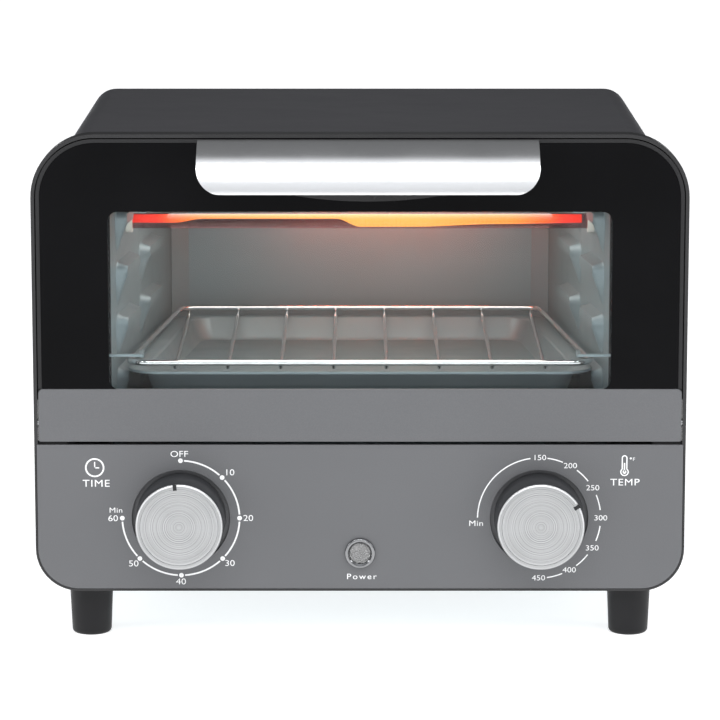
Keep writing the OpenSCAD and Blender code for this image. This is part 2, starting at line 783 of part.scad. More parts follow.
module door_handle() {
    x0 = handle_x - handle_w / 2;
    color("#b4b6b9") difference() {
        intersection() {
            union() {
                across(x0, x0 + handle_w) hood_profile(2.6);
                for (x = [x0, x0 + handle_w - 2.4]) across(x, x + 2.4) hood_profile(handle_h - 0.01);
                for (x = handle_screw_x()) rod_y(5, -11, -plate_t, x, handle_screw_z);
            }
            in_depth(-handle_reach - cut, 0) translate([handle_x, handle_top - handle_h])
                rounded_outline(handle_w, handle_h, 1, 13);
        }
        for (x = handle_screw_x()) rod_y(1.78, -9, 0, x, handle_screw_z);
    }
}

// Plate between handle and door, with the shallow bow that shows below the handle
module handle_backplate() {
    plate_h = handle_h - 1.2;
    chord = 92;
    drop = 4.6;
    bow_r = (chord * chord / 4 + drop * drop) / (2 * drop);
    color("#161618") in_depth(-plate_t, -0.05) difference() {
        translate([handle_x, handle_top - handle_h]) union() {
            translate([-handle_w / 2 + 13, -2]) square([handle_w - 26, plate_h + 2]);
            translate([-handle_w / 2 + 2, 10]) square([handle_w - 4, plate_h - 10]);
            intersection() {
                translate([0, bow_r - drop - 2]) circle(bow_r, $fn = 180);
                translate([-chord / 2, -drop - 2]) square([chord, drop + 3]);
            }
        }
        for (x = handle_screw_x()) translate([x, handle_screw_z]) circle(1.85);
    }
}

module handle_screws() {
    color("#b8b8ba") for (x = handle_screw_x()) {
        rod_y(3.5, door_t - 2.4, door_t - 0.2, x, handle_screw_z);
        rod_y(1.7, -8.5, door_t - 2, x, handle_screw_z);
    }
}

module hinge_pins() {
    color("#c9cbcd") both_sides()
        rod_x(pin_r, frame_w / 2 - 15, frame_w / 2 - 0.2, hinge_t, hinge_z);
}

// Curved arm around the hinge axis that runs through the frame to a spring
module hinge_arms() {
    head = 86;
    far = 2 * arm_out;
    color("#aeb0b2") both_sides() difference() {
        union() {
            across(arm_x - arm_w / 2, arm_x + arm_w / 2) translate([hinge_t, hinge_z]) intersection() {
                difference() {
                    circle(arm_out);
                    circle(arm_in);
                }
                polygon([[0, 0], far * [cos(arm_tail), sin(arm_tail)], far * [cos(35), sin(35)],
                    far * [cos(head), sin(head)]]);
            }
            block(arm_x - 8, arm_x + 3, door_t - 1.2, door_t - 0.1,
                hinge_z + arm_mid - 10, hinge_z + arm_mid + 10);
            block(arm_x - arm_w / 2, arm_x + arm_w / 2, door_t - 1.2, door_t + 0.6,
                hinge_z + arm_in, hinge_z + arm_out);
        }
        translate([0, front_y + hinge_t, hinge_z]) rotate([arm_tail + 5, 0, 0])
            rod_x(1.2, arm_x - 5, arm_x + 5, arm_mid - front_y, 0);
    }
}

function spring_start() = [hinge_t + arm_mid * cos(arm_tail + 5), hinge_z + arm_mid * sin(arm_tail + 5)];

module door_springs() {
    wire_r = 0.6;
    a = spring_start();
    b = [spring_t, spring_z];
    function along(f) = [spring_x, a.x + (b.x - a.x) * f, a.y + (b.y - a.y) * f];
    color("#b5b8ba") both_sides() {
        bar(along(0), along(1), wire_r);
        bar(along(0.1), along(0.9), spring_r);
        for (end = [a, b]) rod_x(wire_r, arm_x - 1.5, spring_x + wire_r, end.x, end.y);
    }
}

// Two arms that reach in from the glass retainer and down behind the rack's front wire
module rack_hooks() {
    over_z = rack_z + wire_r + 3;
    lip_z = rack_z + wire_r + 0.5;
    back_t = skin_t + 4.6;
    edge = window_w / 2 + 1;
    color("#26272a") both_sides() {
        block(edge, edge + 4, back_t, back_t + 1.4, over_z - 5, over_z + 6);
        block(110, edge + 4, back_t, back_t + 1.4, over_z, over_z + 1.4);
        block(110, 112, back_t, 19.4, over_z, over_z + 1.4);
        block(110, 112, 18, 19.4, lip_z, over_z + 1.4);
    }
}

front_frame();
outer_casing();
rear_panel();
base_plate();
foot_front_left();
foot_front_right();
foot_rear_left();
foot_rear_right();
foot_screws();
casing_screws();
rear_panel_screws();
control_panel();
control_screws();
timer_body();
timer_bell();
thermostat_body();
thermostat_blade();
pilot_lamp_bezel();
pilot_lamp_lens();
pilot_lamp_bulb();
terminal_block();
thermal_fuse();
internal_leads();
cord_gland();
cavity_left_panel();
cavity_right_panel();
cavity_back_panel();
cavity_roof();
cavity_floor();
upper_heating_elements();
lower_heating_elements();
ceramic_insulators();
hinge_pins();
door_springs();
door_frame();
door_fascia();
door_glass();
glass_retainer();
door_lower_rail();
door_handle();
handle_backplate();
handle_screws();
hinge_arms();
rack_hooks();
wire_rack();
baking_tray();
crumb_tray();
timer_knob();
timer_knob_cap();
timer_shaft();
temp_knob();
temp_knob_cap();
temp_shaft();
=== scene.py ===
"""Toaster oven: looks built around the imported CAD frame, in metres. mm() converts."""

import json
import math

import bmesh
import bpy
from mathutils import Matrix, Vector


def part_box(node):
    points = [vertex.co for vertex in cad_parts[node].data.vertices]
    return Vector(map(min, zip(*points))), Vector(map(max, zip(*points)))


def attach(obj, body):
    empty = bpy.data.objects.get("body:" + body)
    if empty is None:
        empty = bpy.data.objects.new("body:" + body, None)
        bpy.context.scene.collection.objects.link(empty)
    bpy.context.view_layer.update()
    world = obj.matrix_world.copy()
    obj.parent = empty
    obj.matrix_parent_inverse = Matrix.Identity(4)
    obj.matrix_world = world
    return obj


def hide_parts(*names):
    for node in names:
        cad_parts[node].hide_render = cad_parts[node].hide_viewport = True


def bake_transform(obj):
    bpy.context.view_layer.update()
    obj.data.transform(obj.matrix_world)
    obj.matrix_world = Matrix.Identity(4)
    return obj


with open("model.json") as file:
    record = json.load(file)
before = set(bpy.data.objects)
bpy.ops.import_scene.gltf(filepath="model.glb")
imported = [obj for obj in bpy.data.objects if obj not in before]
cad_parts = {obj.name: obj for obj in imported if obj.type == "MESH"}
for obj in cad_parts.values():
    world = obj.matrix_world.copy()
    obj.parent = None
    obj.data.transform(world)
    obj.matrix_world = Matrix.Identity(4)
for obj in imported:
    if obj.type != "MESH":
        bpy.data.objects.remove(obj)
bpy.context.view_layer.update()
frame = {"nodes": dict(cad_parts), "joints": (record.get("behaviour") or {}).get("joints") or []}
NODES = frame["nodes"]


def mm(value):
    return value / 1000


# ---- Places read from the frame --------------------------

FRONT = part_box("front_frame")[0].y
FOOT_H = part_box("foot_front_left")[1].z
PANEL_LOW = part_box("control_panel")[0]
KNOB_LOW, KNOB_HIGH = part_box("temp_knob_cap")
KNOB_X = (KNOB_LOW.x + KNOB_HIGH.x) / 2
KNOB_Z = FOOT_H + mm(38)
KNOB_R = (KNOB_HIGH.x - KNOB_LOW.x) / 2
KNOB_REACH = FRONT - KNOB_LOW.y
CAP_DEPTH = mm(1.8)
LAMP_LOW, LAMP_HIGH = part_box("pilot_lamp_bezel")
LAMP_R = (LAMP_HIGH.x - LAMP_LOW.x) / 2
LAMP_Z = (LAMP_LOW.z + LAMP_HIGH.z) / 2
HINGE = Vector(next(j["pos_m"] for j in frame["joints"] if j["name"] == "door_hinge"))


# ---- Material building -----------------------------------

COIL_PITCH = mm(2.4)
WAVES_PER_METRE = 3.1  # of Blender's wave texture at scale 1
MIX_SHARE, MIX_A, MIX_B, MIX_COLOUR = 0, 6, 7, 2  # sockets of the mix node for colours


def set_inputs(node, values):
    """Gives a shader node's inputs the values in a dictionary."""
    for key, value in values.items():
        node.inputs[key].default_value = value


class Shader:
    """A Principled material whose nodes are added by short calls."""

    def __init__(self, name, colour, roughness, metallic=0.0, specular=0.5):
        self.mat = bpy.data.materials.new(name)
        self.mat.use_nodes = True
        self.tree = self.mat.node_tree
        self.bsdf = self.tree.nodes["Principled BSDF"]
        self.colour = (*colour, 1)
        self.roughness = roughness
        set_inputs(self.bsdf, {"Base Color": self.colour, "Roughness": roughness,
                               "Metallic": metallic, "Specular IOR Level": specular})
        self.coords = self.add("ShaderNodeTexCoord").outputs["Object"]

    def add(self, kind, **settings):
        node = self.tree.nodes.new(kind)
        for key, value in settings.items():
            setattr(node, key, value)
        return node

    def link(self, source, target):
        self.tree.links.new(source, target)

    def scaled(self, x, y, z):
        """Object coordinates stretched by a factor along each axis."""
        node = self.add("ShaderNodeMapping")
        self.link(self.coords, node.inputs["Vector"])
        node.inputs["Scale"].default_value = (x, y, z)
        return node.outputs["Vector"]

    def axes(self):
        """The object coordinates one by one, as outputs X, Y and Z."""
        node = self.add("ShaderNodeSeparateXYZ")
        self.link(self.coords, node.inputs["Vector"])
        return node.outputs

    def texture(self, kind, scale, vector=None, **settings):
        """A texture of that scale on the object coordinates, or on the vector given."""
        node = self.add(kind, **settings)
        self.link(vector or self.coords, node.inputs["Vector"])
        node.inputs["Scale"].default_value = scale
        return node

    def noise(self, size, detail, vector=None, distortion=0.0):
        """Noise with features of that size in metres."""
        node = self.texture("ShaderNodeTexNoise", 1 / size, vector)
        set_inputs(node, {"Detail": detail, "Distortion": distortion})
        return node.outputs["Fac"]

    def cells(self, size, randomness):
        """Distance from the middle of cells of that size in metres."""
        node = self.texture("ShaderNodeTexVoronoi", 1 / size)
        node.inputs["Randomness"].default_value = randomness
        return node.outputs["Distance"]

    def bands(self, pitch):
        """Waves along X, spaced by about pitch in metres."""
        node = self.texture("ShaderNodeTexWave", 1 / pitch / WAVES_PER_METRE,
                            wave_type="BANDS", bands_direction="X")
        return node.outputs["Fac"]

    def value_range(self, source, low, high, start=0.3, end=0.7):
        """source, from start to end, taken to low to high."""
        node = self.add("ShaderNodeMapRange")
        self.link(source, node.inputs["Value"])
        set_inputs(node, {"From Min": start, "From Max": end, "To Min": low, "To Max": high})
        return node.outputs["Result"]

    def tinted(self, fac, low, high, start=0.3, end=0.7):
        """A colour between the base colour times low and times high."""
        ramp = self.add("ShaderNodeValToRGB")
        self.link(fac, ramp.inputs["Fac"])
        elements = ramp.color_ramp.elements
        for element, position, share in zip(elements, (start, end), (low, high)):
            element.position = position
            element.color = (*(min(1.0, c * share) for c in self.colour[:3]), 1)
        return ramp.outputs["Color"]

    def mix(self, share, a, b):
        """Colours a and b, with that share of b."""
        node = self.add("ShaderNodeMix", data_type="RGBA", blend_type="MIX")
        node.inputs[MIX_SHARE].default_value = share
        self.link(a, node.inputs[MIX_A])
        self.link(b, node.inputs[MIX_B])
        return node.outputs[MIX_COLOUR]

    def set_colour(self, socket):
        self.link(socket, self.bsdf.inputs["Base Color"])

    def vary_roughness(self, source, spread):
        low = max(0.02, self.roughness - spread)
        high = min(1.0, self.roughness + spread)
        self.link(self.value_range(source, low, high), self.bsdf.inputs["Roughness"])

    def bump(self, source, height, strength):
        """Bump of that height in metres."""
        node = self.add("ShaderNodeBump")
        self.link(source, node.inputs["Height"])
        set_inputs(node, {"Distance": height, "Strength": strength})
        self.link(node.outputs["Normal"], self.bsdf.inputs["Normal"])


def paint(name, colour, roughness, specular, metallic=0.0):
    """Sprayed paint: tiny flakes in the colour, faint cloudiness and orange peel."""
    flake = 0.10
    s = Shader(name, colour, roughness, metallic, specular)
    cloud = s.tinted(s.noise(mm(90), detail=2), 0.96, 1.04)
    flakes = s.tinted(s.noise(mm(0.45), detail=2), 1 - flake, 1 + flake, start=0.35, end=0.65)
    s.set_colour(s.mix(0.5, cloud, flakes))
    s.vary_roughness(s.noise(mm(35), detail=4), spread=0.04)
    s.bump(s.noise(mm(1.6), detail=2), height=mm(0.02), strength=0.5)
    return s.mat


def moulded(name, colour, roughness, specular, grain=mm(0.5), height=mm(0.03)):
    """Moulded plastic with a fine spark-eroded grain."""
    s = Shader(name, colour, roughness, specular=specular)
    s.set_colour(s.tinted(s.noise(mm(25), detail=3), 0.9, 1.1))
    s.vary_roughness(s.noise(mm(12), detail=4), spread=0.06)
    s.bump(s.noise(grain, detail=2), height, strength=0.6)
    return s.mat


def gloss_black():
    """Black enamel under a gloss, with faint wipe marks in its roughness."""
    s = Shader("gloss_black_enamel", (0.0035, 0.0035, 0.004), roughness=0.12, specular=0.05)
    s.set_colour(s.tinted(s.noise(mm(60), detail=3), 0.8, 1.2))
    wipes = s.noise(mm(9), detail=4, vector=s.scaled(0.25, 1, 1), distortion=0.6)
    s.vary_roughness(wipes, spread=0.05)
    s.bump(s.noise(mm(40), detail=1), height=mm(0.01), strength=0.4)
    return s.mat


def galvanised():
    """Blue-grey coated sheet: soft clouding, streaks from rolling and small dents."""
    s = Shader("galvanised_sheet", (0.215, 0.265, 0.285), roughness=0.42, metallic=0.3)
    clouding = s.tinted(s.noise(mm(45), detail=2), 0.95, 1.04)
    rolled = s.noise(mm(16), detail=5, vector=s.scaled(0.2, 0.2, 1), distortion=0.4)
    s.set_colour(s.mix(0.5, clouding, s.tinted(rolled, 0.94, 1.05)))
    s.vary_roughness(s.noise(mm(14), detail=4), spread=0.06)
    s.bump(s.noise(mm(26), detail=1), height=mm(0.08), strength=0.5)
    return s.mat


def bare_metal(name, colour, roughness, streak=mm(2), stretch=(0.05, 1, 1)):
    """Plated or drawn metal with fine streaks along one way."""
    s = Shader(name, colour, roughness, metallic=1.0)
    streaks = s.noise(streak, detail=4, vector=s.scaled(*stretch))
    s.set_colour(s.tinted(streaks, 0.88, 1.08))
    s.vary_roughness(streaks, spread=0.07)
    s.bump(streaks, height=mm(0.01), strength=0.4)
    return s.mat


def handle_silver():
    """Satin silver lacquer with a soft metallic grain."""
    s = Shader("satin_silver_lacquer", (0.77, 0.775, 0.785), roughness=0.22, metallic=0.9)
    s.set_colour(s.tinted(s.noise(mm(0.35), detail=2), 0.93, 1.07))
    s.vary_roughness(s.noise(mm(18), detail=3), spread=0.03)
    s.bump(s.noise(mm(0.6), detail=2), height=mm(0.008), strength=0.4)
    return s.mat


def spun_aluminium():
    """Turned aluminium: rings round the piece's own axis, shaded along the rings."""
    ring_pitch = mm(0.5)
    s = Shader("spun_aluminium", (0.455, 0.46, 0.465), roughness=0.36, metallic=1.0)
    s.bsdf.inputs["Anisotropic"].default_value = 0.92
    tangent = s.add("ShaderNodeTangent", direction_type="RADIAL", axis="Y")
    s.link(tangent.outputs["Tangent"], s.bsdf.inputs["Tangent"])
    axes = s.axes()
    flat = s.add("ShaderNodeCombineXYZ")
    s.link(axes["X"], flat.inputs["X"])
    s.link(axes["Z"], flat.inputs["Z"])
    radius = s.add("ShaderNodeVectorMath", operation="LENGTH")
    s.link(flat.outputs["Vector"], radius.inputs[0])
    rings = s.add("ShaderNodeTexNoise", noise_dimensions="1D")
    s.link(radius.outputs["Value"], rings.inputs["W"])
    rings.inputs["Scale"].default_value = 1 / ring_pitch
    s.set_colour(s.tinted(rings.outputs["Fac"], 0.7, 1.15))
    s.vary_roughness(rings.outputs["Fac"], spread=0.05)
    return s.mat


def clear_pane(name, tint):
    """A thin pane: light goes straight through, with a gloss that grows at shallow angles."""
    gloss_head_on, gloss_shallow = 0.005, 0.35
    clean, smeared = 0.02, 0.08
    s = Shader(name, tint, roughness=0.05)
    through = s.add("ShaderNodeBsdfTransparent")
    through.inputs["Color"].default_value = (*tint, 1)
    gloss = s.add("ShaderNodeBsdfGlossy")
    gloss.inputs["Color"].default_value = (1, 1, 1, 1)
    smear = s.value_range(s.noise(mm(30), detail=4), clean, smeared)
    s.link(smear, gloss.inputs["Roughness"])
    edge = s.add("ShaderNodeLayerWeight")
    edge.inputs["Blend"].default_value = 0.3
    amount = s.value_range(edge.outputs["Facing"], gloss_head_on, gloss_shallow, 0.0, 1.0)
    mixed = s.add("ShaderNodeMixShader")
    s.link(amount, mixed.inputs["Fac"])
    s.link(through.outputs["BSDF"], mixed.inputs[1])
    s.link(gloss.outputs["BSDF"], mixed.inputs[2])
    s.link(mixed.outputs["Shader"], s.tree.nodes["Material Output"].inputs["Surface"])
    s.tree.nodes.remove(s.bsdf)
    return s.mat


def cut_lens():
    """Clear plastic that light partly goes through."""
    s = Shader("clear_cut_lens", (0.36, 0.36, 0.36), roughness=0.1, specular=0.6)
    set_inputs(s.bsdf, {"Transmission Weight": 0.35, "IOR": 1.49})
    s.set_colour(s.tinted(s.noise(mm(1.2), detail=2), 0.92, 1.0))
    s.bump(s.noise(mm(0.5), detail=2), height=mm(0.01), strength=0.3)
    return s.mat


def glowing_coil():
    """Coil that glows orange-yellow in the middle and red at its ends, banded by its turns."""
    yellow_half, red_end = mm(30), mm(118)
    glow_between, glow_on_turn = 2.0, 2.3
    s = Shader("glowing_quartz", (0.35, 0.10, 0.05), roughness=0.35)
    distance = s.add("ShaderNodeMath", operation="ABSOLUTE")
    s.link(s.axes()["X"], distance.inputs[0])
    ramp = s.add("ShaderNodeValToRGB")
    from_middle = s.value_range(distance.outputs["Value"], 0, 1, yellow_half, red_end)
    s.link(from_middle, ramp.inputs["Fac"])
    stops = ramp.color_ramp.elements
    stops[0].color = (1.0, 0.62, 0.12, 1)
    stops[1].color = (0.55, 0.02, 0.012, 1)
    for position, colour in ((0.55, (1.0, 0.42, 0.06, 1)), (0.85, (0.85, 0.05, 0.03, 1))):
        stops.new(position).color = colour
    glow = s.value_range(s.bands(COIL_PITCH), glow_between, glow_on_turn, 0.0, 1.0)
    s.link(ramp.outputs["Color"], s.bsdf.inputs["Emission Color"])
    s.link(glow, s.bsdf.inputs["Emission Strength"])
    return s.mat


def quartz():
    """Unlit quartz tube with its coil's turns showing through as bands."""
    s = Shader("frosted_quartz", (0.62, 0.60, 0.57), roughness=0.4)
    turns = s.bands(COIL_PITCH)
    s.set_colour(s.tinted(turns, 0.6, 1.05, start=0.2, end=0.8))
    s.bump(turns, height=mm(0.05), strength=0.5)
    return s.mat


def woven_sleeve():
    """Glass fibre sleeve; its colour darkens between its threads as painted shade in the gaps of
    the weave.
    """
    s = Shader("glass_fibre_sleeve", (0.72, 0.67, 0.55), roughness=0.85)
    weave_and_gap_shade = s.cells(mm(0.6), randomness=0.2)
    # Painted shade: darker towards the gaps between the threads; the bump is the weave itself.
    s.set_colour(s.tinted(weave_and_gap_shade, 1.05, 0.75, start=0.1, end=0.6))
    s.bump(weave_and_gap_shade, height=mm(0.05), strength=0.8)
    return s.mat


def printed_white():
    """White ink, very slightly uneven."""
    s = Shader("white_print", (0.86, 0.865, 0.87), roughness=0.5, specular=0.3)
    s.set_colour(s.tinted(s.noise(mm(0.8), detail=2), 0.95, 1.02))
    s.bump(s.noise(mm(0.3), detail=2), height=mm(0.004), strength=0.4)
    return s.mat


# Paint and mouldings: name, base colour, roughness, specular level. Bare metals: name, base
# colour, roughness, then the size and the stretch of their streaks.
MATERIAL = {
    "frame": paint("frame_black_paint", (0.016, 0.016, 0.0172), 0.22, 0.42),
    "casing": paint("casing_dark_paint", (0.056, 0.0556, 0.061), 0.34, 0.34),
    "panel": paint("panel_grey_paint", (0.127, 0.129, 0.135), 0.42, 0.3, metallic=0.25),
    "door_black": moulded("door_black_paint", (0.014, 0.014, 0.015), 0.42, 0.3),
    "gloss": gloss_black(),
    "back_plate": moulded("black_back_plate", (0.013, 0.013, 0.014), 0.25, 0.32),
    "plastic_black": moulded("black_plastic", (0.012, 0.012, 0.013), 0.5, 0.35),
    "foot": moulded("foot_plastic", (0.008, 0.008, 0.009), 0.45, 0.22),
    "galvanised": galvanised(),
    "steel": bare_metal("zinc_plated_steel", (0.60, 0.61, 0.62), 0.32),
    "chrome": bare_metal("chrome_wire", (0.78, 0.785, 0.79), 0.12, mm(6), (1, 1, 1)),
    "dark_chrome": bare_metal("dark_chrome_bezel", (0.24, 0.243, 0.25), 0.14, mm(6), (1, 1, 1)),
    "silver": handle_silver(),
    "knob": moulded("knob_grey_plastic", (0.035, 0.036, 0.039), 0.42, 0.3),
    "aluminium": spun_aluminium(),
    # Upper tubes: clear quartz tinted wine red, painted red glow of their lit coils; the unlit
    # lower tubes are frosted.
    "red_glow_tube": clear_pane("quartz_painted_red_glow", (0.62, 0.42, 0.43)),
    "pane": clear_pane("door_pane", (0.97, 0.985, 0.985)),
    "lens": cut_lens(),
    "neon": moulded("neon_lamp", (0.26, 0.17, 0.13), 0.2, 0.5),
    "ceramic": moulded("glazed_ceramic", (0.78, 0.75, 0.68), 0.3, 0.5, mm(3), mm(0.05)),
    "cream": moulded("cream_phenolic", (0.60, 0.57, 0.49), 0.5, 0.4),
    "brass": bare_metal("bell_brass", (0.72, 0.55, 0.25), 0.3),
    "glow": glowing_coil(),
    "quartz": quartz(),
    "sleeve": woven_sleeve(),
    "print": printed_white(),
}


# ---- Finishing CAD nodes and making pieces ---------------

SMOOTH_ANGLE = 32
BEVEL_ANGLE = 35
FLAT_ANGLE = 0.5


def smoothing(angle):
    """Geometry nodes that shade smooth except at edges sharper than angle, in degrees."""
    group = bpy.data.node_groups.new(f"smooth_{angle}", "GeometryNodeTree")
    group.interface.new_socket("Geometry", in_out="INPUT", socket_type="NodeSocketGeometry")
    group.interface.new_socket("Geometry", in_out="OUTPUT", socket_type="NodeSocketGeometry")
    start = group.nodes.new("NodeGroupInput")
    end = group.nodes.new("NodeGroupOutput")
    faces = group.nodes.new("GeometryNodeSetShadeSmooth")
    edges = group.nodes.new("GeometryNodeSetShadeSmooth")
    edges.domain = "EDGE"
    measure = group.nodes.new("GeometryNodeInputMeshEdgeAngle")
    sharp = group.nodes.new("FunctionNodeCompare")
    sharp.operation = "GREATER_THAN"
    sharp.inputs["B"].default_value = math.radians(angle)
    edges.inputs["Shade Smooth"].default_value = False
    links = group.links
    links.new(start.outputs[0], faces.inputs["Geometry"])
    links.new(faces.outputs["Geometry"], edges.inputs["Geometry"])
    links.new(measure.outputs["Unsigned Angle"], sharp.inputs["A"])
    links.new(sharp.outputs["Result"], edges.inputs["Selection"])
    links.new(edges.outputs["Geometry"], end.inputs[0])
    return group


SMOOTH = smoothing(SMOOTH_ANGLE)


def soften(obj, bevel=0.0):
    """Rounds an object's sharp edges by bevel metres and shades its curves smooth."""
    if bevel:
        edge = obj.modifiers.new("rounded_edges", "BEVEL")
        edge.width = bevel
        edge.segments = 2
        edge.limit_method = "ANGLE"
        edge.angle_limit = math.radians(BEVEL_ANGLE)
        edge.use_clamp_overlap = True
    shade = obj.modifiers.new("smooth_curves", "NODES")
    shade.node_group = SMOOTH
    if bevel:
        level = obj.modifiers.new("flat_panels", "WEIGHTED_NORMAL")
        level.keep_sharp = True


def dress(name, material, bevel):
    """Gives a CAD node its material and softened edges."""
    obj = NODES[name]
    obj.data.materials.clear()
    obj.data.materials.append(MATERIAL[material])
    normals = obj.data.attributes.get("custom_normal")
    if normals:
        obj.data.attributes.remove(normals)
    weld = obj.modifiers.new("weld", "WELD")
    weld.merge_threshold = mm(0.002)
    flat = obj.modifiers.new("flat_faces", "DECIMATE")
    flat.decimate_type = "DISSOLVE"
    flat.angle_limit = math.radians(FLAT_ANGLE)
    soften(obj, bevel)


def add_object(name, bm, material):
    """Puts a bmesh in the scene as an object of that material, and frees it."""
    mesh = bpy.data.meshes.new(name)
    bm.to_mesh(mesh)
    bm.free()
    mesh.materials.append(material)
    obj = bpy.data.objects.new(name, mesh)
    bpy.context.scene.collection.objects.link(obj)
    return obj


def piece(name, mesh_maker, material, body, stands_for=(), bevel=0.0, at=(0, 0, 0)):
    """A new object from a function that fills a bmesh, riding on a body."""
    bm = bmesh.new()
    mesh_maker(bm)
    bmesh.ops.remove_doubles(bm, verts=bm.verts, dist=mm(0.001))
    bmesh.ops.recalc_face_normals(bm, faces=bm.faces)
    obj = add_object(name, bm, MATERIAL[material])
    obj.location = at
    soften(obj, bevel)
    bpy.context.view_layer.update()
    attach(obj, body)
    if stands_for:
        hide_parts(*stands_for)
    return obj


def round_angles(count):
    """That many angles in radians, evenly round a circle."""
    return [2 * math.pi * i / count for i in range(count)]


def square_to(along):
    """Two unit vectors square to a direction and to each other."""
    hint = Vector((0, 0, 1)) if abs(along.z) < 0.9 else Vector((0, 1, 0))
    side = along.cross(hint).normalized()
    return side, side.cross(along)


def circle(centre, radius, side, up, count):
    """Points of a circle in the plane of two unit vectors."""
    return [centre + radius * (math.cos(a) * side + math.sin(a) * up) for a in round_angles(count)]


def bridge(bm, rings, caps=True):
    """Joins rings of points, each of the same length, by bands of faces."""
    made = [[bm.verts.new(p) for p in ring] for ring in rings]
    count = len(made[0])
    for a, b in zip(made, made[1:]):
        for i in range(count):
            j = (i + 1) % count
            bm.faces.new((a[i], a[j], b[j], b[i]))
    if caps:
        bm.faces.new(made[0][::-1])
        bm.faces.new(made[-1])


def lathe(bm, profile, segments, centre=(0, 0, 0), hollow=False):
    """Turns a profile of (radius, outward) round an axis that points out of the front, at -Y.

    A hollow profile is a loop, joined from its last point back to its first.
    """
    rings = [[Vector(centre) + Vector((radius * math.sin(a), -out, radius * math.cos(a)))
              for a in round_angles(segments)] for radius, out in profile]
    if hollow:
        rings.append(rings[0])
    bridge(bm, rings, caps=not hollow)


def sweep(bm, points, radius, sides=12, closed=False):
    """A round wire along points."""
    count = len(points)
    rings = []
    for i, p in enumerate(points):
        before = points[(i - 1) % count] if closed else points[max(i - 1, 0)]
        after = points[(i + 1) % count] if closed else points[min(i + 1, count - 1)]
        side, up = square_to((after - before).normalized())
        rings.append(circle(p, radius, side, up, sides))
    if closed:
        rings.append(rings[0])
    bridge(bm, rings, caps=not closed)


def box_mesh(bm, low, high):
    corners = [Vector((x, y, z))
               for x in (low[0], high[0]) for y in (low[1], high[1]) for z in (low[2], high[2])]
    bmesh.ops.convex_hull(bm, input=[bm.verts.new(c) for c in corners])


# ---- CAD nodes with finished edges -----------------------

# Material and radius of rounded edges in millimetres: nodes.
CAD_FINISH = {
    ("frame", 0.7): ["front_frame"],
    ("casing", 0.4): ["outer_casing"],
    ("casing", 0.25): ["rear_panel"],
    ("panel", 0.5): ["control_panel", "door_lower_rail"],
    ("door_black", 0.35): ["door_frame"],
    ("gloss", 0.3): ["door_fascia"],
    ("pane", 0.15): ["door_glass"],
    ("back_plate", 0.5): ["handle_backplate"],
    ("galvanised", 0.0): ["base_plate", "cavity_roof", "cavity_floor"],
    ("galvanised", 0.2): ["rack_hooks", "cavity_back_panel", "crumb_tray"],
    ("steel", 0.2): ["glass_retainer", "hinge_arms", "hinge_pins", "handle_screws", "foot_screws",
                     "control_screws", "timer_shaft", "temp_shaft", "thermal_fuse"],
    ("foot", 0.4): ["foot_front_left", "foot_front_right", "foot_rear_left", "foot_rear_right"],
    ("cream", 0.5): ["timer_body", "terminal_block"],
    ("brass", 0.2): ["timer_bell"],
    ("brass", 0.1): ["thermostat_blade"],
    ("ceramic", 0.5): ["thermostat_body"],
    ("ceramic", 0.4): ["ceramic_insulators"],
    ("neon", 0.4): ["pilot_lamp_bulb"],
    ("sleeve", 0.0): ["internal_leads"],
    ("plastic_black", 0.3): ["cord_gland"],
    ("quartz", 0.3): ["lower_heating_elements"],
}


def finish_cad_nodes():
    for (material, bevel), names in CAD_FINISH.items():
        for name in names:
            dress(name, material, mm(bevel))


# ---- Handle ----------------------------------------------


def make_handle(bm):
    """Scooped hood: a quarter-ellipse shell with rounded lower corners and closed ends."""
    low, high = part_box("door_handle")
    wall = mm(2.6)
    corner = mm(13)
    tip = wall / 2
    arc_steps, lip_steps, spans = 28, 8, 48
    cheek_gap = mm(0.3)
    cheek_insets = (mm(0.2), mm(2.4))
    boss_radius, boss_inset, boss_from, boss_to = mm(5), mm(22), mm(0.2), mm(9)
    screw_radius = mm(3.5)
    reach = high.y - low.y
    height = high.z - low.z
    middle = (low.x + high.x) / 2
    half = (high.x - low.x) / 2

    def outline_half(z):
        rise = min(z - low.z, corner)
        return half - corner + math.sqrt(max(0.0, corner ** 2 - (corner - rise) ** 2))

    def arc(rx, rz):
        angles = [math.pi / 2 * i / arc_steps for i in range(arc_steps + 1)]
        return [(high.y - rx * math.sin(a), low.z + rz * math.cos(a)) for a in angles]

    outer = arc(reach, height)
    inner = arc(reach - wall, height - wall)[::-1]
    lip = [(high.y - reach + tip - tip * math.cos(a), low.z + tip - tip * math.sin(a))
           for a in (math.pi * i / lip_steps for i in range(1, lip_steps))]
    above_lip = low.z + tip
    profile = [p for p in outer if p[1] > above_lip] + lip + [p for p in inner if p[1] > above_lip]
    bridge(bm, [[Vector((middle + u * outline_half(z), y, z)) for y, z in profile]
                for u in (-1 + 2 * i / spans for i in range(spans + 1))])

    # Each end is closed by a cheek between the hood and the door.
    foot = low.z + corner * 0.2
    cheek = [(high.y, foot)]
    cheek += [(y, max(z, foot)) for y, z in arc(reach - cheek_gap, height - cheek_gap)]
    for side in (-1, 1):
        bridge(bm, [[Vector((middle + side * (outline_half(z) - inset), y, z)) for y, z in cheek]
                    for inset in cheek_insets])

    screw_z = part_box("handle_screws")[0].z + screw_radius
    for x in (low.x + boss_inset, high.x - boss_inset):
        lathe(bm, [(boss_radius, boss_from), (boss_radius, boss_to)], 32, (x, high.y, screw_z))


# ---- Knobs -----------------------------------------------


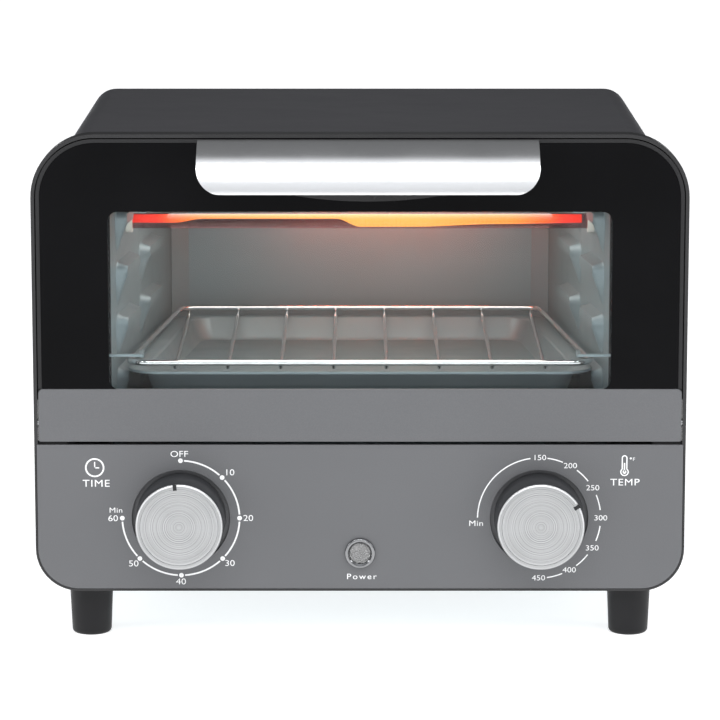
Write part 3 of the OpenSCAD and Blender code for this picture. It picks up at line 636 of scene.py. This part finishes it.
def make_knob_body(bm):
    """Grey shell of a knob about its own axis, open at the back, with its bore for the shaft."""
    r, face = KNOB_R, KNOB_REACH - CAP_DEPTH
    bore, hub, web = mm(3.1), mm(8), KNOB_REACH - mm(7)
    back = -mm(2.5)
    profile = [
        (bore, back), (hub - mm(0.4), back), (hub, -mm(2.1)), (hub, web),
        (r - mm(2.8), web), (r - mm(1.9), -mm(2.2)), (r - mm(1.5), back),
        (r + mm(0.4), back), (r + mm(0.75), -mm(2.1)), (r + mm(0.6), mm(3)),
        (r + mm(0.25), face - mm(0.6)), (r - mm(0.1), face - mm(0.05)),
        (r - mm(0.6), face - mm(0.02)), (bore, face - mm(0.02))]
    lathe(bm, profile, 128, hollow=True)


def make_knob_cap(bm):
    """Turned metal cap: a bright chamfered rim round a face of fine grooves."""
    r, reach = KNOB_R, KNOB_REACH
    back = reach - CAP_DEPTH
    face = reach - mm(0.35)
    rim_in = r - mm(2.5)
    middle = mm(0.02)
    depth = mm(0.055)
    profile = [(middle, back), (r - mm(0.1), back), (r, back + mm(0.25)),
               (r - mm(0.12), back + mm(0.8)), (r - mm(1.1), reach - mm(0.08)),
               (r - mm(1.5), reach), (rim_in + mm(0.3), reach - mm(0.06)),
               (rim_in, face - mm(0.08))]
    grooves = 19
    pitch = (rim_in - mm(0.5)) / grooves
    for ring in range(grooves):
        for part, lift in ((0.25, 0), (0.5, -depth), (0.75, 0), (1, depth)):
            profile.append((rim_in - pitch * (ring + part), face + lift))
    profile.append((middle, face))
    lathe(bm, profile, 160)


def make_painted_slot_shade(bm, angle):
    """Dark inlay that marks where the knob points: painted shade standing in for the recess of the
    pointer slot.
    """
    half = mm(0.95)
    inner, outer = KNOB_R - mm(2.9), KNOB_R + mm(0.28)
    outline = [(-half, inner), (half, inner), (half, outer), (-half, outer)]
    turn = Matrix.Rotation(angle, 3, "Y")
    bridge(bm, [[turn @ Vector((x, -out, z)) for x, z in outline]
                for out in (KNOB_REACH - mm(3), KNOB_REACH)])


def make_knobs():
    pointers = {"timer": math.radians(-5.5), "temp": math.radians(60)}
    for name, side in (("timer", -1), ("temp", 1)):
        at = (side * KNOB_X, FRONT, KNOB_Z)
        body = f"{name}_knob"
        piece(f"{name}_knob_body", make_knob_body, "knob", body, [body], at=at)
        piece(f"{name}_knob_face", make_knob_cap, "aluminium", body,
              [f"{name}_knob_cap"], at=at)
        # The pointer slot is drawn as a black inlay, painted shade of the slot's recess.
        piece(f"{name}_knob_slot_shade", lambda bm, a=pointers[name]: make_painted_slot_shade(bm, a),
              "plastic_black", body, at=at)


# ---- Pilot lamp ------------------------------------------

LENS_TURN = math.radians(28)
LENS_PITCH = mm(1.5)
LENS_R = mm(5.25)


def make_bezel(bm):
    """Ring with a rounded front and a bore for the lens."""
    outer, bore, back = mm(5.9), mm(5.35), -mm(12)
    seat = mm(0.02)
    steps = 8
    profile = [(outer, back), (outer, seat), (LAMP_R, seat)]
    profile += [(LAMP_R - mm(0.9) + mm(0.9) * math.cos(a), mm(0.7) + mm(1.05) * math.sin(a))
                for a in (math.pi / 2 * i / steps for i in range(steps + 1))]
    profile += [(mm(6.2), mm(1.6)), (mm(5.5), mm(0.9)), (bore, mm(0.2)), (bore, back)]
    lathe(bm, profile, 96, hollow=True)


def lens_height(x, z):
    """How far the lens stands out: small pyramids on a low crown."""
    u = x * math.cos(LENS_TURN) + z * math.sin(LENS_TURN)
    v = -x * math.sin(LENS_TURN) + z * math.cos(LENS_TURN)
    peak = max(abs((u / LENS_PITCH) % 1 - 0.5), abs((v / LENS_PITCH) % 1 - 0.5))
    crown = 0.9 * (1 - (x * x + z * z) / LENS_R ** 2)
    return mm(0.3 + crown) + mm(0.75) * (1 - 2 * peak)


def make_lens(bm):
    """Clear plug whose face is cut into small pyramids."""
    count, sides = 24, 72
    middle = mm(0.03)
    back_y = mm(5.5)
    rings = []
    for k in range(count + 1):
        r = LENS_R * (1 - k / count) + middle
        points = [(r * math.sin(a), r * math.cos(a)) for a in round_angles(sides)]
        rings.append([Vector((x, -lens_height(x, z), z)) for x, z in points])
    back = [Vector((p.x, back_y, p.z)) for p in rings[0]]
    bridge(bm, [back] + rings)


def make_lamp():
    at = (0, FRONT, LAMP_Z)
    piece("pilot_bezel", make_bezel, "dark_chrome", "oven_body",
          ["pilot_lamp_bezel"], at=at)
    piece("pilot_lens", make_lens, "lens", "oven_body", ["pilot_lamp_lens"], at=at)


# ---- Printing on the control panel -----------------------

PRINT_T = mm(0.05)
LETTER_STRETCH = 1.18
CAPITAL_SHARE = 0.70  # height of a capital letter in a font of size 1


def flat_ring(bm, x, z, r_in, r_out, start=0.0, end=360.0):
    """Part of a flat ring on the panel, in degrees clockwise from the top."""
    whole = end - start >= 360
    steps = max(6, int(abs(end - start) / 4))
    count = steps if whole else steps + 1
    y = PANEL_LOW.y
    section = ((r_in, y), (r_out, y), (r_out, y - PRINT_T), (r_in, y - PRINT_T))
    rings = []
    for a in (math.radians(start + (end - start) * i / steps) for i in range(count)):
        s, c = math.sin(a), math.cos(a)
        rings.append([Vector((x + r * s, yy, z + r * c)) for r, yy in section])
    if whole:
        rings.append(rings[0])
    bridge(bm, rings, caps=not whole)


def flat_bar(bm, a, b, width):
    """A thin straight line on the panel from a to b."""
    along = (Vector(b) - Vector(a)).normalized()
    side = Vector((-along.y, along.x)) * width / 2
    y = PANEL_LOW.y
    corners = [Vector(a) - side, Vector(b) - side, Vector(b) + side, Vector(a) + side]
    bridge(bm, [[Vector((p.x, yy, p.y)) for p in corners] for yy in (y, y - PRINT_T)])


def lettering(bm, text, x, z, cap, spacing=1.0):
    """Text centred on x and z, with capitals cap metres tall."""
    data = bpy.data.curves.new("lettering", "FONT")
    data.body = text
    data.align_x = "CENTER"
    data.align_y = "CENTER"
    data.size = cap / CAPITAL_SHARE
    data.space_character = spacing
    data.offset = mm(-0.01)
    data.extrude = PRINT_T / 2
    data.resolution_u = 4
    obj = bpy.data.objects.new("lettering", data)
    bpy.context.scene.collection.objects.link(obj)
    bpy.context.view_layer.update()
    evaluated = obj.evaluated_get(bpy.context.evaluated_depsgraph_get())
    mesh = bpy.data.meshes.new_from_object(evaluated)
    upright = Matrix.Rotation(math.pi / 2, 4, "X")
    place = Matrix.Translation((x, PANEL_LOW.y - PRINT_T / 2, z)) @ upright
    mesh.transform(place @ Matrix.Diagonal((LETTER_STRETCH, 1, 1, 1)))
    bm.from_mesh(mesh)
    bpy.data.objects.remove(obj)
    bpy.data.curves.remove(data)
    bpy.data.meshes.remove(mesh)


def around(centre_x, radius, degrees):
    """A point round a knob's axis, in degrees clockwise from the top."""
    a = math.radians(degrees)
    return centre_x + radius * math.sin(a), KNOB_Z + radius * math.cos(a)


def print_timer(bm):
    x = -KNOB_X
    radius, line = mm(29.8), mm(0.42)
    spacing, gap = 45, 3.6
    dot_in, dot_out = mm(0.12), mm(1.2)
    digit = mm(3.15)
    # Text, then millimetres across and up from the knob's axis.
    labels = [("OFF", -0.6, 33.1), ("10", 24.8, 23.6), ("20", 34.2, -0.1), ("30", 24.7, -23.6),
              ("40", -0.2, -33.2), ("50", -24.3, -23.8), ("60", -34.5, -0.2)]
    for i, (text, across, up) in enumerate(labels):
        angle, after = spacing * i, spacing * (i + 1)
        flat_ring(bm, *around(x, radius, angle), dot_in, dot_out)
        if i < len(labels) - 1:
            flat_ring(bm, x, KNOB_Z, radius - line, radius + line, angle + gap, after - gap)
        lettering(bm, text, x + mm(across), KNOB_Z + mm(up), digit)
    lettering(bm, "Min", x - mm(33.0), KNOB_Z + mm(4.0), mm(2.7), 1.05)

    # Clock: a ring with its minute hand up and its hour hand to the right.
    icon_x, icon_z, stroke = x - mm(43.5), KNOB_Z + mm(26.2), mm(0.6)
    hand_z = icon_z - mm(0.1)
    flat_ring(bm, icon_x, icon_z, mm(4.1), mm(4.9))
    flat_bar(bm, (icon_x, icon_z - mm(0.4)), (icon_x, icon_z + mm(3.0)), stroke)
    flat_bar(bm, (icon_x - mm(0.3), hand_z), (icon_x + mm(2.3), hand_z), stroke)
    lettering(bm, "TIME", x - mm(42.8), KNOB_Z + mm(17.9), mm(3.65), 1.1)


def print_temperature(bm):
    x = KNOB_X
    radius, line = mm(31.3), mm(0.3)
    r_in, r_out = radius - line, radius + line
    spacing, dash_from, dash_to = 30, 7.4, 22.2
    labels = ["150", "200", "250", "300", "350", "400", "450"]
    for i, text in enumerate(labels):
        lettering(bm, text, *around(x, radius, spacing * i), mm(2.75))
    flat_ring(bm, x, KNOB_Z, r_in, r_out, -89.5, -8.5)
    for i in range(len(labels) - 1):
        flat_ring(bm, x, KNOB_Z, r_in, r_out, spacing * i + dash_from, spacing * i + dash_to)
    lettering(bm, "Min", x - mm(32.0), KNOB_Z - mm(2.8), mm(2.9), 1.06)

    # Thermometer: an outlined bulb and tube round a filled core.
    icon_x, bulb_z = x + mm(43.1), KNOB_Z + mm(24.0)
    tube, bulb, stroke = mm(1.45), mm(2.15), mm(0.55)
    top_z = bulb_z + mm(7.2)
    shut = math.degrees(math.asin((tube - stroke / 2) / (bulb - stroke / 2)))
    flat_ring(bm, icon_x, bulb_z, bulb - stroke, bulb, shut, 360 - shut)
    flat_ring(bm, icon_x, top_z, tube - stroke, tube, -90, 90)
    neck_z = bulb_z + math.sqrt(bulb ** 2 - tube ** 2) - mm(0.2)
    for side in (-1, 1):
        edge = icon_x + side * (tube - stroke / 2)
        flat_bar(bm, (edge, neck_z), (edge, top_z), stroke)
    flat_ring(bm, icon_x, bulb_z, mm(0.05), mm(0.95))
    flat_bar(bm, (icon_x, bulb_z), (icon_x, bulb_z + mm(4.6)), mm(0.7))

    # Degree sign and F, then the word below.
    flat_ring(bm, icon_x + mm(3.1), top_z - mm(0.2), mm(0.12), mm(0.5))
    lettering(bm, "F", icon_x + mm(4.7), top_z - mm(0.7), mm(1.7))
    lettering(bm, "TEMP", x + mm(43.4), KNOB_Z + mm(18.5), mm(3.5), 1.1)


def make_printing(bm):
    print_timer(bm)
    print_temperature(bm)
    lettering(bm, "Power", mm(0.8), FOOT_H + mm(7.4), mm(2.9), 1.25)


# ---- Cooking space ---------------------------------------

WALL_LOW, WALL_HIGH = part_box("cavity_right_panel")
BACK_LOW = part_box("cavity_back_panel")[0]
FLOOR_LOW, FLOOR_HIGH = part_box("cavity_floor")
ROOF_Z = WALL_HIGH.z
SILL = FRONT + mm(16)
SILL_TOP = HINGE.z + mm(11)
MOUTH_HALF = mm(126)
BACK_HALF = mm(104)
WALL_FRONT = WALL_LOW.y
WALL_BACK = FRONT + mm(205)
TRAY_LOW, TRAY_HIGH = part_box("baking_tray")
SIDE_GAP = mm(5)  # between the walls and the tray or rack

RIB_FRONTS = (FRONT + mm(31), FRONT + mm(99))
RIB_LEVELS = [TRAY_HIGH.z + mm(up) for up in (-5.4, 22.5, 49.5, 76.5)]
RIB_LENGTH, TOP_RIB_LENGTH = mm(34), mm(15)
RIB_HEIGHT, LEG_HEIGHT = mm(5.6), mm(5.4)
LEG_LENGTH, LEG_FADE = mm(13), mm(16)

ROD_LOW, ROD_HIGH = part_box("upper_heating_elements")
ROD_Z = (ROD_LOW.z + ROD_HIGH.z) / 2
ROD_DEPTHS = (mm(60), mm(150))


def half_at(y):
    """Half the width between the side walls, which taper towards the back."""
    return MOUTH_HALF - (y - WALL_FRONT) * (MOUTH_HALF - BACK_HALF) / (WALL_BACK - WALL_FRONT)


def smooth_step(low, high, value):
    t = min(1.0, max(0.0, (value - low) / (high - low)))
    return t * t * (3 - 2 * t)


def pressed(y, z):
    """How far the side wall is pressed inwards: shelf ribs with legs that fade out below."""
    best = 0.0
    for front in RIB_FRONTS:
        for level in RIB_LEVELS:
            length = TOP_RIB_LENGTH if level == RIB_LEVELS[-1] else RIB_LENGTH
            along = max(0.0, abs(y - front - length / 2) - length / 2)
            away = math.hypot(along, z - level)
            best = max(best, RIB_HEIGHT * (1 - smooth_step(mm(2.6), mm(4.6), away)))
            below = max(0.0, z - level, level - LEG_LENGTH - z)
            away = math.hypot(y - front, below)
            fade = 1 - 0.75 * smooth_step(0, LEG_FADE, level - z)
            best = max(best, LEG_HEIGHT * fade * (1 - smooth_step(mm(1.2), mm(5.2), away)))
    return best


def make_side_wall(bm, side):
    """Pressed wall of thin sheet with its rolled front flange."""
    sheet = mm(0.8)
    inside = mm(0.1)
    end_gap = mm(0.3)
    top_z = ROOF_Z - mm(0.2)
    flange_from, flange_to = MOUTH_HALF + mm(0.2), MOUTH_HALF + mm(11.8)
    columns, rows = 190, 128
    lines = []
    for i in range(columns + 1):
        y = WALL_FRONT + end_gap + (WALL_BACK - WALL_FRONT - 2 * end_gap) * i / columns
        bottom = SILL_TOP if y < SILL else FLOOR_LOW.z + end_gap
        heights = [bottom + (top_z - bottom) * j / rows for j in range(rows + 1)]
        line = [Vector((side * (half_at(y) - pressed(y, z) + inside), y, z)) for z in heights]
        line += [Vector((side * (half_at(y) + sheet), y, z)) for z in (heights[-1], heights[0])]
        lines.append(line)
    bridge(bm, lines)
    box_mesh(bm, (side * flange_from, WALL_FRONT, SILL_TOP + mm(0.2)),
             (side * flange_to, WALL_FRONT + sheet, top_z))


def trapezium(depth0, depth1, inset, radius, z, steps=8):
    """Points of a plan outline that follows the tapered walls, with rounded corners."""
    y0, y1 = FRONT + depth0, FRONT + depth1
    corners = [Vector((-half_at(y0) + inset, y0)), Vector((half_at(y0) - inset, y0)),
               Vector((half_at(y1) - inset, y1)), Vector((-half_at(y1) + inset, y1))]
    points = []
    for i, p in enumerate(corners):
        u = (corners[i - 1] - p).normalized()
        v = (corners[(i + 1) % 4] - p).normalized()
        half = u.angle(v) / 2
        centre = p + (u + v).normalized() * radius / math.sin(half)
        first = p + u * radius / math.tan(half) - centre
        start = math.atan2(first.y, first.x)
        for k in range(steps + 1):
            a = start + (math.pi - 2 * half) * k / steps
            x, y = centre.x + radius * math.cos(a), centre.y + radius * math.sin(a)
            points.append(Vector((x, y, z)))
    return points


def make_tray(bm):
    """Shallow pressed tray with a flat flange and a rolled edge."""
    rim_z = TRAY_HIGH.z - mm(0.5)
    base_z = TRAY_LOW.z + mm(0.1)
    # Front, back, inset and corner radius in millimetres, then the height in metres.
    upper_side = [
        (14.6, 189.9, 0.1, 16, rim_z - mm(0.9)), (14.5, 190, 0.0, 16, rim_z - mm(0.3)),
        (14.7, 189.8, 0.2, 16, rim_z + mm(0.35)), (15.4, 189.1, 0.9, 15.5, rim_z + mm(0.48)),
        (16.2, 188.3, 1.7, 15, rim_z + mm(0.1)), (18.6, 186, 8.2, 13.5, rim_z),
        (19.4, 185.2, 9.2, 13, rim_z - mm(0.7)), (22.6, 182, 12.6, 11, base_z + mm(2.2)),
        (24.2, 180.4, 14.2, 10, base_z + mm(0.7)), (27, 177.6, 17, 8, base_z + mm(0.6))]
    lower_side = [
        (26.5, 178.1, 16.5, 8, base_z), (23.6, 181, 13.6, 10, base_z),
        (21.8, 182.8, 11.8, 11, base_z + mm(1.8)), (18.6, 186, 8.4, 13, rim_z - mm(1.2)),
        (17.6, 187, 7.2, 14, rim_z - mm(0.7)), (15.6, 188.9, 1.1, 15.5, rim_z - mm(0.7))]
    bridge(bm, [trapezium(mm(front), mm(back), SIDE_GAP + mm(inset), mm(r), z)
                for front, back, inset, r, z in upper_side[::-1] + lower_side[::-1]])


def make_rack(bm):
    """Chrome wire rack: a rounded ring with bars welded under it."""
    low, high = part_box("wire_rack")
    ring_r, bar_r = mm(1.55), mm(1.08)
    ring_z, bar_z = high.z - mm(1.6), low.z + mm(1.1)
    bars, bar_pitch = 8, mm(26.9)
    front, back = FRONT + mm(15.1), FRONT + mm(185.4)
    outline = trapezium(mm(15), mm(186), SIDE_GAP + mm(2.2), mm(9), ring_z, 6)
    sweep(bm, outline, ring_r, 14, closed=True)
    for i in range(bars):
        x = (i - (bars - 1) / 2) * bar_pitch
        depths = [front + mm(1), front + mm(3)]
        depths += [front + (back - front) * k / 6 for k in range(1, 6)] + [back - mm(0.1)]
        path = [Vector((x, front, ring_z - mm(0.4)))] + [Vector((x, y, bar_z)) for y in depths]
        sweep(bm, path, bar_r)


def make_rods(bm):
    """Quartz tubes inside the box of the upper rods."""
    for y in (FRONT + depth for depth in ROD_DEPTHS):
        half = half_at(y) + mm(9.8)
        sweep(bm, [Vector((-half + 2 * half * k / 24, y, ROD_Z)) for k in range(25)], mm(3.95), 24)


def make_coils(bm):
    """Glowing coils that wander in the tubes, high left of the middle and low right of it."""
    course_end = 118
    steps, sides = 10, 16
    # Millimetres from the middle, lift above the tube's axis, and radius of the coil.
    course = [(-course_end, 1.2, 2.2), (-95, 1.2, 2.2), (-80, 2.3, 1.2), (-12, 2.3, 1.2),
              (0, 0.2, 3.3), (28, 0.2, 3.3), (70, 0.9, 2.6), (course_end, 1.2, 2.2)]
    for y in (FRONT + depth for depth in ROD_DEPTHS):
        stretch = (half_at(y) - mm(1)) / mm(course_end)
        rings = []
        for (x0, lift0, r0), (x1, lift1, r1) in zip(course, course[1:]):
            for k in range(steps):
                f = smooth_step(0, 1, k / steps)
                x = mm(x0 + (x1 - x0) * k / steps) * stretch
                centre = Vector((x, y, ROD_Z + mm(lift0 + (lift1 - lift0) * f)))
                rings.append(circle(centre, mm(r0 + (r1 - r0) * f), Vector((0, 1, 0)),
                                    Vector((0, 0, 1)), sides))
        bridge(bm, rings)


def make_rod_pins(bm):
    """Contact pins from the tubes' ends to the ends of the rods' box."""
    for y in (FRONT + depth for depth in ROD_DEPTHS):
        start = half_at(y) + mm(9.6)
        for side in (-1, 1):
            ends = [Vector((side * x, y, ROD_Z)) for x in (start, ROD_HIGH.x)]
            sweep(bm, ends, mm(1.45), 16)


def make_cooking_space():
    for name, side in (("cavity_right_panel", 1), ("cavity_left_panel", -1)):
        piece(name.replace("panel", "wall"), lambda bm, s=side: make_side_wall(bm, s),
              "galvanised", "oven_body", [name])
    piece("tray_pan", make_tray, "galvanised", "baking_tray", ["baking_tray"])
    piece("rack_wires", make_rack, "chrome", "wire_rack", ["wire_rack"])
    # The tubes' wine-red tint is painted glow light, not the colour of the quartz.
    rods = piece("upper_rod_tubes", make_rods, "red_glow_tube", "oven_body",
                 ["upper_heating_elements"])
    rods.visible_shadow = False
    coils = piece("upper_rod_coils", make_coils, "glow", "oven_body")
    coils.visible_shadow = False
    piece("upper_rod_pins", make_rod_pins, "steel", "oven_body")


# ---- Screws and springs ----------------------------------


def pan_head(bm, centre, out, radius, height):
    """Pan head with a cross recess, facing along the unit vector out."""
    side, up = square_to(out)
    angles = round_angles(32)
    disc = [radius for _ in angles]
    cross = [radius * (0.52 if i % 8 in (7, 0, 1) else 0.22) for i, _ in enumerate(angles)]
    # Edge, share of its radius and share of the head's height: the outside, then the recess.
    sections = [(disc, 1, 0), (disc, 1, 0.45), (disc, 0.86, 0.82), (disc, 0.6, 1),
                (cross, 1, 1), (cross, 0.7, 0.45)]
    bridge(bm, [[centre + out * height * lift + share * r * (math.cos(a) * side + math.sin(a) * up)
                 for r, a in zip(edge, angles)] for edge, share, lift in sections])


def make_casing_screws(bm):
    low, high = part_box("casing_screws")
    radius = mm(3.2)
    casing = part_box("outer_casing")[1].x
    for side in (-1, 1):
        for y in (low.y + radius, high.y - radius):
            centre = Vector((side * casing, y, (low.z + high.z) / 2))
            pan_head(bm, centre, Vector((side, 0, 0)), radius, high.x - casing)


def make_rear_screws(bm):
    low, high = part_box("rear_panel_screws")
    radius, height = mm(3.2), mm(1.6)
    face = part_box("rear_panel")[1].y
    for x in (low.x + radius, high.x - radius):
        for up in (14, 110, 205):
            centre = Vector((x, face, FOOT_H + mm(up)))
            pan_head(bm, centre, Vector((0, 1, 0)), radius, height)


def make_spring(bm, side):
    """Coil between the base plate's tab and the tail of the hinge arm."""
    low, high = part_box("door_springs")
    outer_r, coil_r, wire_r, pin_r = mm(1.6), mm(1.1), mm(0.45), mm(0.6)
    pin_out, pin_in = mm(0.4), mm(4.1)
    coil_from, coil_share = 0.1, 0.8  # of the length from pin to pin
    turns, per_turn = 26, 10
    x = side * (high.x - outer_r)
    start = Vector((x, high.y - pin_r, low.z + pin_r))
    end = Vector((x, low.y + pin_r, high.z - pin_r))
    along = end - start
    flat = Vector((1, 0, 0))
    up = flat.cross(along.normalized())
    points = [start]
    for k in range(turns * per_turn + 1):
        a = 2 * math.pi * k / per_turn
        on_axis = start + along * (coil_from + coil_share * k / (turns * per_turn))
        points.append(on_axis + coil_r * (math.cos(a) * flat + math.sin(a) * up))
    points.append(end)
    sweep(bm, points, wire_r, 6)
    for tip in (start, end):
        sweep(bm, [tip + side * pin_out * flat, tip - side * pin_in * flat], wire_r, 8)


def make_fasteners():
    piece("casing_screw_heads", make_casing_screws, "steel", "oven_body",
          ["casing_screws"])
    piece("rear_screw_heads", make_rear_screws, "steel", "oven_body",
          ["rear_panel_screws"])
    for name, side in (("spring_coil_left", -1), ("spring_coil_right", 1)):
        bm = bmesh.new()
        make_spring(bm, side)
        obj = add_object(name, bm, MATERIAL["steel"])
        soften(obj)
        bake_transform(obj)
        if side > 0:
            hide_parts("door_springs")


# ---- Camera, lights and floor ----------------------------

EYE = Vector((0, FRONT - mm(1836), mm(477)))
PITCH = math.radians(10.26)
LENS_MM, SENSOR_MM = 185, 36
WHITE = (1, 1, 1)


def set_camera():
    data = bpy.data.cameras.new("camera")
    data.lens = LENS_MM
    data.sensor_width = SENSOR_MM
    data.clip_end = 50
    camera = bpy.data.objects.new("camera", data)
    camera.location = EYE
    camera.rotation_euler = (math.pi / 2 - PITCH, 0, 0)
    bpy.context.scene.collection.objects.link(camera)
    bpy.context.scene.camera = camera


def softbox(name, at, aim, width, height, power, colour=WHITE):
    """A rectangular light, its sizes in metres and its power in watts."""
    data = bpy.data.lights.new(name, "AREA")
    data.shape = "RECTANGLE"
    data.size = width
    data.size_y = height
    data.energy = power
    data.color = colour
    lamp = bpy.data.objects.new(name, data)
    lamp.location = at
    lamp.rotation_euler = (Vector(aim) - Vector(at)).to_track_quat("-Z", "Y").to_euler()
    bpy.context.scene.collection.objects.link(lamp)


def set_lights():
    """Studio lights round the oven, a dim one for its inside and the red haze behind the rod."""
    aim = (0, 0, 0.15)
    softbox("key", (0, -1.5, 1.75), aim, 2.6, 1.1, 16)
    softbox("left_strip", (-1.7, -0.6, 0.5), aim, 0.5, 1.6, 9)
    softbox("right_strip", (1.7, -0.6, 0.5), aim, 0.5, 1.6, 9)
    softbox("edge_strip", (0, -0.75, 1.45), (0, -0.1, 0.2), 2.2, 0.06, 8)
    space = (FLOOR_LOW + FLOOR_HIGH) / 2
    softbox("cavity_light", (0, space.y - mm(20), ROOF_Z - mm(3)), (0, space.y, FLOOR_HIGH.z),
            mm(200), mm(120), 0.28, (1.0, 0.95, 0.9))
    haze_x = mm(14)
    softbox("rod_haze", (haze_x, BACK_LOW.y - mm(25), ROOF_Z - mm(30)),
            (haze_x, BACK_LOW.y, ROOF_Z - mm(38)), mm(110), mm(4), 0.045, (1.0, 0.2, 0.12))


def set_world():
    """Surroundings that fade from bright in front of the oven to dim behind it.

    They are brighter straight above, below and beside than on the diagonals, to shade the
    turned faces of the knobs.
    """
    fade_from, fade_to = -0.3, 0.1
    front_strength, back_strength = 0.86, 0.075
    diagonal_share, lobe_share = 0.62, 0.7
    world = bpy.data.worlds.new("studio")
    bpy.context.scene.world = world
    world.use_nodes = True
    tree = world.node_tree
    shade = tree.nodes["Background"]
    shade.inputs["Color"].default_value = (0.95, 0.97, 1.0, 1)

    def maths(operation, a, b):
        node = tree.nodes.new("ShaderNodeMath")
        node.operation = operation
        for i, source in enumerate((a, b)):
            if isinstance(source, bpy.types.NodeSocket):
                tree.links.new(source, node.inputs[i])
            else:
                node.inputs[i].default_value = source
        return node.outputs[0]

    def squared(socket):
        return maths("POWER", maths("ABSOLUTE", socket, 0.0), 2.0)

    coords = tree.nodes.new("ShaderNodeTexCoord")
    parts = tree.nodes.new("ShaderNodeSeparateXYZ")
    tree.links.new(coords.outputs["Generated"], parts.inputs["Vector"])
    fade = tree.nodes.new("ShaderNodeMapRange")
    fade.interpolation_type = "SMOOTHSTEP"
    tree.links.new(parts.outputs["Y"], fade.inputs["Value"])
    set_inputs(fade, {"From Min": fade_from, "From Max": fade_to,
                      "To Min": front_strength, "To Max": back_strength})
    across, upward = squared(parts.outputs["X"]), squared(parts.outputs["Z"])
    total = maths("ADD", maths("ADD", across, upward), 0.0001)
    lobes = maths("POWER", maths("DIVIDE", maths("SUBTRACT", across, upward), total), 2.0)
    share = maths("ADD", maths("MULTIPLY", lobes, lobe_share), diagonal_share)
    tree.links.new(maths("MULTIPLY", fade.outputs["Result"], share), shade.inputs["Strength"])


def make_floor():
    bm = bmesh.new()
    bmesh.ops.create_grid(bm, x_segments=1, y_segments=1, size=9)
    s = Shader("pale_floor", (0.93, 0.93, 0.93), roughness=0.9, specular=0.1)
    s.set_colour(s.tinted(s.noise(0.4, detail=2), 0.995, 1.005))
    set_inputs(s.bsdf, {"Emission Color": (*WHITE, 1), "Emission Strength": 0.7})
    add_object("floor", bm, s.mat)


# ---- Build -----------------------------------------------

bpy.context.scene.view_settings.view_transform = "Standard"
set_camera()
finish_cad_nodes()
piece("handle_hood", make_handle, "silver", "door", ["door_handle"],
      bevel=mm(0.3))
make_knobs()
make_lamp()
piece("panel_printing", make_printing, "print", "oven_body")
make_cooking_space()
make_fasteners()
set_lights()
set_world()
make_floor()
